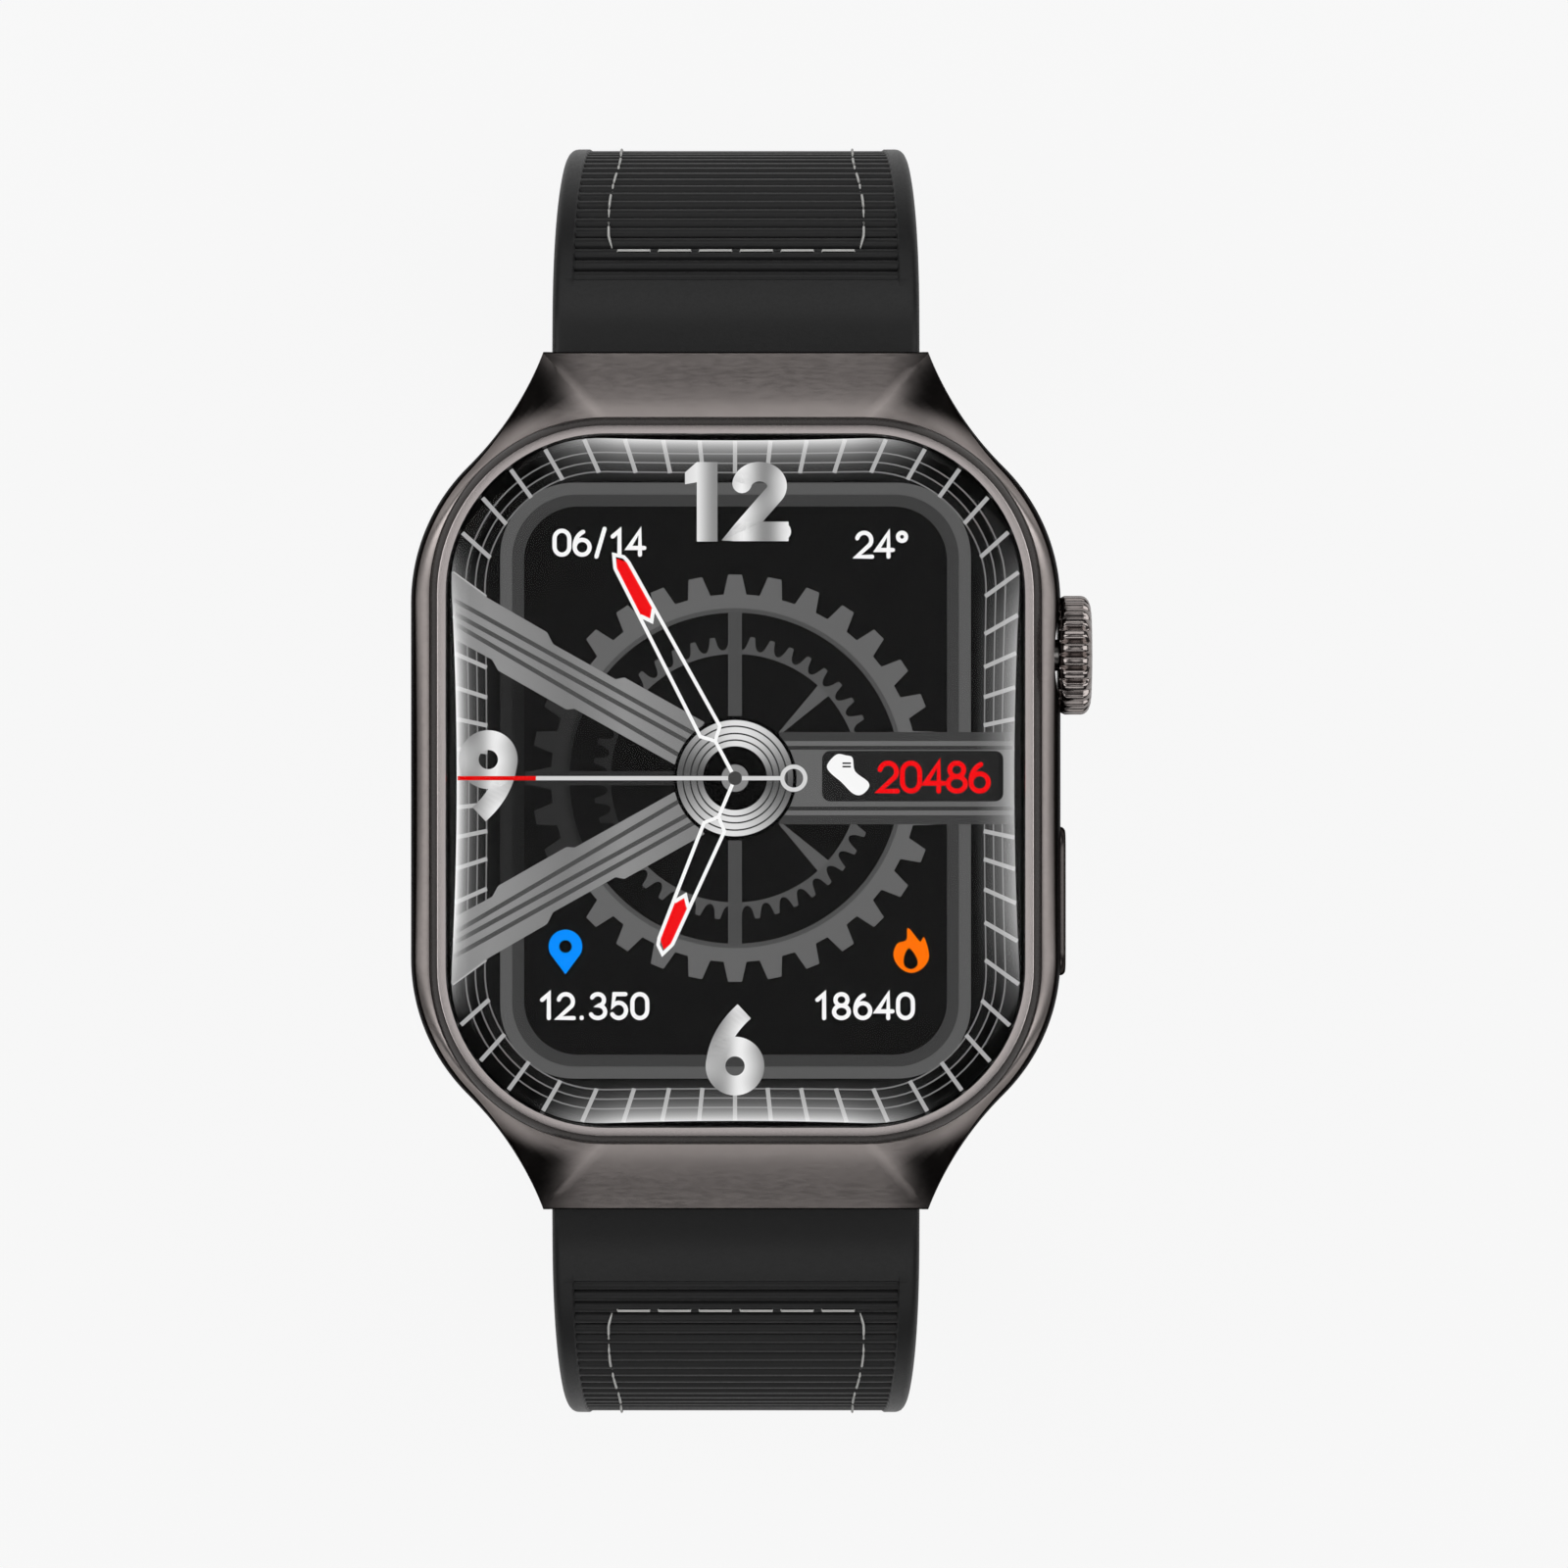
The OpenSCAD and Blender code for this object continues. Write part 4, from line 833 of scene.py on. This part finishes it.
def build_dial():
    pic = Picture()
    base = rounded(17.12, 20.52, 9.45, (8, 24, 8))
    plate = [at_z(base, Z_PANEL + 0.005), at_z(base, Z_PANEL + 0.015)]
    loft("dial_ground", plate, "case", dial_black, "display_panel")
    # frame of the inner area, in two greys
    frames = [rounded(hw, hw + 3.72, r, (10, 20, 10)) for hw, r in ((13.98, 4.4), (13.27, 3.8), (12.56, 3.2))]
    pic.band(frames[0], frames[1], 1, shade(0.345))
    pic.band(frames[1], frames[2], 1, shade(0.235))
    # three fine lines and sixty ticks round the edge
    for inset in (0.81, 1.4, 1.98):
        pic.band(lit_outline(inset), lit_outline(inset + 0.09), 1, grey(0.46))
    edge, inner = lit_outline(0.02), lit_outline(2.08)
    for i in range(60):
        a = radians(6 * i)
        p, q = reach(edge, a), reach(inner, a)
        pic.stroke([q, p], 0.25, 2, grey(0.66), caps=False)
    # large gear
    teeth, outer, root = 32, [], []
    for i in range(teeth):
        a = pi / 2 + 2 * pi * i / teeth
        for r, w in ((10.93, -0.062), (12.1, -0.034), (12.1, 0.034), (10.93, 0.062)):
            outer.append((DIAL[0] + r * cos(a + w), DIAL[1] + r * sin(a + w)))
            root.append((DIAL[0] + 10.06 * cos(a + w), DIAL[1] + 10.06 * sin(a + w)))
    pic.band(outer, root, 2, shade(0.39))
    pic.band(circle(10.1, 160), circle(9.83, 160), 2.4, shade(0.3))
    # small gear with round notches
    outer, inside = [], []
    notches = 44
    for i in range(notches * 12):
        f, a = (i % 12) / 12, 2 * pi * i / (notches * 12)
        r = 8.43 if f < 0.3 else 8.43 - 0.82 * sqrt(max(0, 1 - ((f - 0.65) / 0.35) ** 2))
        outer.append((DIAL[0] + r * cos(a), DIAL[1] + r * sin(a)))
        inside.append((DIAL[0] + 7.38 * cos(a), DIAL[1] + 7.38 * sin(a)))
    pic.band(outer, inside, 2, shade(0.32))
    # spokes
    cx, cy = DIAL
    for s in (1, -1):
        pic.face(rect(cx - 0.41, cy + 3.7 * s, cx + 0.41, cy + 9.9 * s), 3, grey(0.29))
        spoke = [(2.55, 2.85), (2.8, 2.85), (5.55, 5.06), (4.9, 5.67)]
        pic.face(spoke if s > 0 else flip(spoke), 3, grey(0.35))
    pic.face(rect(-12.5, cy - 0.42, -3.6, cy + 0.42), 3, grey(0.16))
    # the two left arms
    top = [(-16.86, 12.43), (-14.8, 10.9), (-11.19, 8.81), (-10.84, 8.11), (-7.12, 6.02), (-6.6, 6.13), (-1.83, 3.46)]
    low = [(-16.6, 8.35), (-14.45, 7.18), (-14.1, 6.54), (-10.03, 4.22), (-9.56, 4.27), (-3.63, 0.96)]
    low.insert(5, (-6.6, 2.62))
    lines = [((-16.75, 10.75), (-2.41, 2.76)), ((-16.66, 9.91), (-2.82, 2.3)), ((-16.6, 9.27), (-3.4, 1.54))]
    for mirror in (False, True):
        turn = flip if mirror else list
        pic.band(turn(top), turn(low), 4, lambda x, y: grey(0.52 + 0.04 * sin(x * 0.8)), closed=False)
        for line in lines:
            pic.stroke(turn(line), 0.26, 5, grey(0.29), caps=False)
    # right arm with its window
    for y0, y1, v in ((0, 1.69, 0.39), (1.69, 1.92, 0.2), (1.92, 2.2, 0.42), (2.2, 2.74, 0.24)):
        for s in (1, -1):
            pic.face(rect(2.6, cy + s * y0, 16.5, cy + s * y1), 4, grey(v))
    window_box = [(10.52 + x, cy + 0.12 + y) for x, y in rounded(5.38, 1.5, 0.5, (4, 8, 4))]
    pic.fan(window_box, 7, grey(0.13), (10.52, cy + 0.12))
    write(pic, "20486", 8.55, -0.62, 1.66, 0.29, 8, RED, 0.89)
    # a plain sole, upper and lower half
    sole = [(5.45, 0.95), (6.0, 1.55), (6.55, 1.5), (6.95, 1.35), (7.1, 0.55), (7.85, -0.05), (7.9, -0.45),
            (7.45, -0.85), (6.95, -0.75), (6.3, -0.1), (5.6, 0.5)]
    pic.fan(rounded_off(sole, 4), 8, WHITE, (6.5, 0.55))
    for y in (0.78, 0.98):
        pic.face(rect(6.35, y, 6.85, y + 0.1), 9, grey(0.13))
    # figures in the corners
    write(pic, "06/14", -10.75, 13.42, 1.42, 0.25, 7, WHITE, 0.92)
    write(pic, "24°", 7.2, 13.3, 1.42, 0.25, 7, WHITE, 0.92)
    write(pic, "12.350", -11.6, -14.1, 1.42, 0.25, 7, WHITE, 0.95)
    write(pic, "18640", 4.75, -14.1, 1.42, 0.25, 7, WHITE, 0.97)
    # a drop-shaped pin and a flame
    pin = circle(1.0, 40, (-10.1, -9.85))[-3:] + circle(1.0, 40, (-10.1, -9.85))[:24] + [(-10.1, -11.5)]
    pic.fan(pin, 7, srgb(0.0, 0.55, 1.0), (-10.1, -9.85))
    pic.fan(circle(0.38, 24, (-10.1, -9.85)), 8, grey(0.01), (-10.1, -9.85))
    flame = rounded_off([(10.25, -8.75), (11.0, -9.6), (11.2, -9.3), (11.5, -10.4), (11.15, -11.1), (10.45, -11.42),
                         (9.75, -11.1), (9.38, -10.4), (9.6, -9.7), (10.15, -9.45)])
    pic.fan(flame, 7, srgb(1.0, 0.45, 0.0), (10.45, -10.5))
    hollow = rounded_off([(10.3, -9.95), (10.75, -10.5), (10.8, -10.95), (10.45, -11.2), (10.05, -11.0), (10.0, -10.5)])
    pic.fan(hollow, 8, grey(0.01), (10.4, -10.7))
    # silver numerals
    pic.face([(-2.3, 18.92), (-3.0, 18.3), (-3.0, 17.6), (-2.3, 17.72)], 9, silver)
    for i in range(8):
        x = -2.3 + 1.23 * i / 8
        pic.face(rect(x, 14.2, x + 1.23 / 8, 18.92), 9, silver)
    pic.stroke(arc(1.42, 17.5, 1.05, 0.85, 170, -42, 24) + [(0.35, 14.8), (2.72, 14.8)], 1.16, 9, silver, fine=0.12)
    pic.face(rect(-0.22, 14.22, 0.35, 14.9), 9, silver)
    pic.face(rect(2.6, 14.22, 3.15, 15.38), 9, silver)
    ring = arc(0, 0, 1.16, 1.16, 0, 360, 44)
    tail = bezier((1.16, 0.15), (1.12, -1.75), (-0.55, -3.25))
    for ox, oy, s in ((-14.68, 1.25, 1), (-0.03, -16.95, -1)):
        pic.stroke([(ox + s * x, oy + s * y) for x, y in ring[:-1]], 1.17, 9, silver, closed=True)
        pic.stroke([(ox + s * x, oy + s * y) for x, y in tail], 1.15, 9, silver, caps=False)
    # hub: silver disc with dark grooves round a black hole
    def conical(x, y):
        a = atan2(y - cy, x - cx)
        return grey(0.33 + 0.55 * abs(sin(a + 0.12)) ** 1.4)
    pic.fan(circle(3.66), 6, grey(0.01))
    pic.band(circle(3.45), circle(1.9), 7, conical)
    for r in (3.13, 2.7, 2.31):
        pic.band(circle(r), circle(r - 0.09), 8, grey(0.2))
    pic.fan(circle(0.81), 8, grey(0.52))
    # hands: white outline with a red tip, and a long seconds hand
    for angle, far, near, red in ((118, 15.2, 3.0, 4.2), (247, 11.4, 3.0, 3.4)):
        c, s = cos(radians(angle)), sin(radians(angle))
        put = lambda pts: [(cx + u * c - v * s, cy + u * s + v * c) for u, v in pts]
        base, half = 0.66, 0.44
        pic.stroke(put([(0.4, 0), (near - 0.45, 0)]), 0.21, 12, WHITE, caps=False)
        pic.stroke(put([(near - 0.5, 0), (near + 0.15, base), (far - 0.85, half), (far - 0.1, 0.12),
                        (far - 0.5, -half + 0.1), (far - 0.9, -half), (near + 0.15, -base)]), 0.21, 12, WHITE, True)
        pic.face(put([(far - 0.9, half - 0.06), (far - 0.38, 0.08), (far - 0.9, -half + 0.06),
                      (far - red + 0.2, -half + 0.03), (far - red - 0.25, 0), (far - red + 0.2, half - 0.03)]), 11, RED)
        pic.stroke(put([(far - red + 0.15, half), (far - red - 0.45, 0), (far - red + 0.15, -half)]), 0.22, 12, WHITE,
                   caps=False)
    pic.stroke([(-16.5, cy), (-11.85, cy)], 0.25, 10, srgb(0.86, 0.03, 0.03), caps=False)
    pic.stroke([(-11.85, cy), (2.85, cy)], 0.25, 10, grey(0.83), caps=False)
    pic.band(circle(0.81, 40, (3.46, cy)), circle(0.56, 40, (3.46, cy)), 10, grey(0.83))
    pic.fan(circle(0.41), 13, grey(0.26))
    pic.build("dial_picture", display)

    # painted reflection: white along the sides and ends of the lit area, fading inwards and strongest on the left,
    # standing in for the reflection in the glass's rolled rim
    painted_reflection = Picture()
    steps = [0, 0.12, 0.25, 0.4, 0.6, 0.85, 1.15, 1.5, 2.0, 2.6]
    rows = [lit_outline(d, (26, 24, 22)) for d in steps]
    n = len(rows[0])
    for d, row in zip(steps, rows):
        for x, y in row:
            side = 0.42 * exp(-d / 0.8) if x > 0 else 1.1 * exp(-d / 0.4)
            side *= (1 - smooth(abs(y), 6.5, 14.5)) * smooth(abs(x), 13.5, 14.3)
            end = 0.78 * exp(-d / 0.6) * (1 - smooth(abs(x), 5.5, 12)) * smooth(abs(y), 16, 17.5)
            painted_reflection.points.append((x, y, PAINT_Z + LAYER * 6.4))
            painted_reflection.paint.append((1, 1, 1, min(1, side + end) * (1 - smooth(d, 1.8, 2.6))))
    painted_reflection.faces = [(j * n + i, j * n + (i + 1) % n, (j + 1) * n + (i + 1) % n, (j + 1) * n + i)
                  for j in range(len(steps) - 1) for i in range(n)]
    painted_reflection.build("dial_painted_reflection", painted_reflection_material)


build_dial()

# ---- strap

def route(s):
    """Point on the strap's centre line and the angle of its tangent, in YZ."""
    if s <= S1:
        return BAR_Y + s * cos(START_A), BAR_Z + s * sin(START_A), START_A
    if s <= S2:
        a = START_A - (s - S1) / SHOULDER_R
        return C1[0] - SHOULDER_R * sin(a), C1[1] + SHOULDER_R * cos(a), a
    if s <= S3:
        return TANGENT_Y, C1[1] - (s - S2), -pi / 2
    if s <= S4:
        a = -pi / 2 - (s - S3) / TURN_R
        return C2[0] - TURN_R * sin(a), C2[1] + TURN_R * cos(a), a
    return C2[0] - (s - S4), C2[1] - TURN_R, -pi


def on_strap(s, x, out, side):
    """A point beside the strap's centre line: `out` is away from the wrist."""
    y, z, a = route(s)
    return (x, side * (y - out * sin(a)), z + out * cos(a))


def width_at(s):
    return STRAP_W - (STRAP_W - TIP_W) * smooth(s, 4, 38)


def thick_at(s):
    return 2.9 - 0.5 * smooth(s, 2.5, 7)


RIB, RIB_DEPTH, RIB_FROM, BORDER = 0.78, 0.46, 5.5, 1.22
TIP, HOLES, HOLE_PITCH, LAST_HOLE, HOLE_R = 9.2, 7, 6.5, 20, 1.15
STITCH_ROW, STITCH, STITCH_GAP, THREAD_R, THREAD_SIDES = 7.5, 2.0, 0.38, 0.072, 8


def section(s, rib_to):
    """Cross-section of the strap at a distance: raised borders, and ribs between them."""
    w, t, r = width_at(s) / 2, thick_at(s) / 2, 0.5
    zone = smooth(s, RIB_FROM, RIB_FROM + 0.15) * (1 - smooth(s, rib_to, rib_to + 0.15))
    phase = ((s - RIB_FROM) / RIB) % 1.0
    rib = sqrt(max(0.0, 1 - (2 * phase - 1) ** 2))
    floor_at = t - zone * (RIB_DEPTH - 0.36 * rib)
    pts = [(w - r + r * cos(a), t - r + r * sin(a)) for a in [pi / 2 * i / 5 for i in range(6)]]
    pts += [(w - BORDER + 0.08, t), (w - BORDER, t - 0.08 * zone), (w - BORDER - 0.05, floor_at), (w / 2, floor_at)]
    half = pts + [(0, floor_at)]
    ring = half + [(-x, v) for x, v in reversed(half[:-1])]
    r = 0.35
    low = [(-w + r - r * cos(a), -t + r - r * sin(a)) for a in [pi / 2 * i / 4 for i in range(5)]]
    return ring + low + [(-x, v) for x, v in reversed(low)]


def strap_stations(start, end, rib_to):
    stops = {round(start, 3), round(end, 3), RIB_FROM, RIB_FROM + 0.15, rib_to, rib_to + 0.15}
    s = start
    while s < end:
        stops.add(round(s, 3))
        s += 0.6
    k = 0
    while RIB_FROM + k * RIB / 8 < rib_to:
        stops.add(round(RIB_FROM + k * RIB / 8, 3))
        k += 1
    return sorted(stops)


def block_cutter(s, x0, x1, y0, y1, z0, z1, side):
    corners = [(x, y, z) for z in (z0, z1) for x, y in ((x0, y0), (x1, y0), (x1, y1), (x0, y1))]
    pts = [on_strap(s, x, z, side) if not y else on_strap(s + y, x, z, side) for x, y, z in corners]
    faces = [(0, 1, 2, 3), (4, 5, 6, 7), (0, 1, 5, 4), (1, 2, 6, 5), (2, 3, 7, 6), (3, 0, 4, 7)]
    return mesh("cutter", pts, faces, None, black)


def build_strap(name, body, side, length, rib_to, node):
    stops = strap_stations(2.05, length if side > 0 else length - TIP, rib_to)
    # the first ring lies flat against the hood's end
    rings = [[on_strap((HOOD_Y - BAR_Y + v * sin(START_A)) / cos(START_A), x, v, side)
              for x, v in section(1.9, rib_to)]]
    rings += [[on_strap(s, x, v, side) for x, v in section(s, rib_to)] for s in stops]
    if side < 0:
        # the free end narrows to a round tip
        for i in range(1, 19):
            a = pi / 2 * i / 18
            s = length - TIP + TIP * sin(a)
            k = max(0.02, cos(a)) ** 0.85
            thin = 0.82 if i == 18 else 1
            rings.append([on_strap(min(s, length), x * k, v * thin, side) for x, v in section(s, rib_to)])
    strap = loft(name, rings, body, rubber, node, sharp=38)
    cutters = []
    if side > 0:
        cutters.append(block_cutter(length, -9.6, 9.6, -1.6, 1.0, -4, 4, side))
        cutters.append(block_cutter(length, -1.25, 1.25, -3.4, 4, -4, 4, side))
    else:
        for i in range(HOLES):
            s = LONG_L - LAST_HOLE - HOLE_PITCH * i
            ring = [(s + HOLE_R * sin(a), HOLE_R * cos(a)) for a in [2 * pi * j / 32 for j in range(32)]]
            cutters.append(cutter([[on_strap(u, x, z, side) for u, x in ring] for z in (-3, 3)]))
    carve(strap, cutters, 38)
    # the barrel round the spring bar
    profile = [(BAR_Y + 1.4 * cos(a), BAR_Z + 1.4 * sin(a)) for a in [radians(75 + 14 * i) for i in range(15)]]
    profile += [on_strap(1.9, 0, v, 1)[1:] for v in (-1.42, 1.42)]
    profile_x(name + "_root", [(side * y, z) for y, z in profile], -9.8, 9.8, body, rubber, edge=0.2)
    if side > 0:
        # loops of the end that hold the buckle's bar
        for m in (1, -1):
            ring = [(length + 1.5 * cos(radians(12 * i)), 1.5 * sin(radians(12 * i))) for i in range(30)]
            yc, zc, a = route(length)
            rings = [[(m * x, yc + k * ((s - length) * cos(a) - v * sin(a)),
                       zc + k * ((s - length) * sin(a) + v * cos(a))) for s, v in ring]
                     for x, k in ((1.4, 0.9), (1.5, 1), (9.05, 1), (9.15, 0.9))]
            loft(name + ("_loop_r" if m > 0 else "_loop_l"), rings, body, rubber)
    return strap


def capsule(points):
    """Rings of a thin round thread through points in millimetres."""
    rings = []
    for i, p in enumerate(points):
        a, b = Vector(points[max(0, i - 1)]), Vector(points[min(len(points) - 1, i + 1)])
        d = (b - a).normalized()
        u = d.orthogonal().normalized()
        v = d.cross(u)
        k = 0.45 if i in (0, len(points) - 1) else 1
        rings.append([tuple(Vector(p) + (u * cos(t) + v * sin(t)) * THREAD_R * k)
                      for t in [2 * pi * j / THREAD_SIDES for j in range(THREAD_SIDES)]])
    return rings


def build_stitches(name, body, side, rib_to):
    """Threads: a row across near the lug, rounded corners, and one line along each border."""
    faces, points = [], []
    height = 0.02

    def add(path):
        rings = capsule(path)
        f, _ = loft_faces(len(rings), THREAD_SIDES)
        faces.extend(tuple(len(points) + i for i in face) for face in f)
        points.extend(p for ring in rings for p in ring)

    def lay(flat):
        """A stitch from points (s, x): its ends go down into the rubber."""
        path = []
        for i, (s, x) in enumerate(flat):
            down = 0.28 if i in (0, len(flat) - 1) else 0.0
            path.append(on_strap(s, x, thick_at(s) / 2 - 0.03 + height - down, side))
        add(path)

    row, pitch = STITCH_ROW, 14.75 / 6
    for i in range(6):
        x0 = -7.2 + pitch * i
        x1 = x0 + pitch - 0.36
        lay([(row - 0.05, x0 - 0.02), (row, x0 + 0.1), (row, (x0 + x1) / 2), (row, x1 - 0.1), (row - 0.05, x1 + 0.02)])
    s, first = row + 0.35, True
    while s < rib_to - 0.6:
        for m in (1, -1):
            flat = []
            for k in range(7):
                at = s + STITCH * k / 6
                corner = 0.22 * (1 - min(1, (at - s) / 0.9)) ** 2 if first else 0
                x = 7.68 - 0.62 * smooth(at, 10.2, 17) - corner
                flat.append((at, m * x))
            lay(flat)
        s += STITCH + STITCH_GAP
        first = False
    mesh(name, points, faces, body, thread)


build_strap("strap_upper", "strap_12_half", 1, SHORT_L, 44.0, "strap_12")
build_strap("strap_lower", "strap_6_half", -1, LONG_L, 36.0, "strap_6")
build_stitches("stitches_upper", "strap_12_half", 1, 44.0)
build_stitches("stitches_lower", "strap_6_half", -1, 36.0)


def build_keeper(name, body, s0, node):
    """A flat rubber band round the strap, with rounded edges and a groove along its middle."""
    w = width_at(s0) / 2 + 0.25
    low, high = -1.45, 4.1
    mid, half, wall = (low + high) / 2, (high - low) / 2, 1.1
    yc, zc, a = route(s0)
    rings = []
    for along, d, inner in ((-1.95, 0, True), (-2.25, 0.1, True), (-2.3, 0.4, False), (-2.15, 0.1, False),
                            (-1.9, 0, False),
                            (-0.5, 0, False), (-0.3, 0.12, False), (0.3, 0.12, False), (0.5, 0, False), (1.9, 0, False),
                            (2.15, 0.1, False), (2.3, 0.4, False), (2.25, 0.1, True), (1.95, 0, True)):
        if inner:
            outline = rounded(w + d, half + d, 0.35, (6, 6, 6))
        else:
            outline = rounded(w + wall - d, half + wall - d, 1.2, (6, 6, 6))
        rings.append([(x, yc + along * cos(a) - (v + mid) * sin(a),
                       zc + along * sin(a) + (v + mid) * cos(a)) for x, v in outline])
    mesh(name, [p for r in rings for p in r], tube_faces(rings), body, rubber, node, sharp=38)


build_keeper("keeper_fixed", "strap_12_half", SHORT_L - 7.5, "fixed_keeper")
build_keeper("keeper_loose", "loose_keeper", SHORT_L - 14, "free_keeper")

# ---- materials of the CAD pieces

LOOKS = {
    # the darker copy of the gunmetal, painted shade, also goes on the buckle and the CAD case
    metal_side_painted_shade: ("buckle_frame", "buckle_tongue", "case_frame"),
    steel: ("board_screws", "back_screws", "crown_tube", "crown_bracket", "crown_shaft", "crown_clip", "button_clips",
            "spring_bar_12", "spring_bar_6", "release_pin_12", "release_pin_6", "release_spring_12", "release_spring_6",
            "buckle_bar", "shield_cans", "vibration_motor", "motor_weight", "charging_magnets"),
    back_shell: ("back_cover",),
    window: ("sensor_window",),
    lens: ("sensor_leds", "photodiodes"),
    gold: ("charging_contacts", "microphone"),
    board: ("main_board", "sensor_board"), foil: ("battery",), black: ("speaker_mesh", "encoder_sensor"),
    plastic: ("mid_frame", "speaker", "crown_switch", "button_switch", "crown_plunger", "encoder_wheel"),
    seal: ("glass_gasket", "battery_pad", "back_gasket", "crown_seal", "button_seals"),
    gold_flex: ("display_flex", "battery_tab"),
}
for mat, names in LOOKS.items():
    for node in names:
        data = bpy.data.objects[node].data
        data.materials.clear()
        data.materials.append(mat)
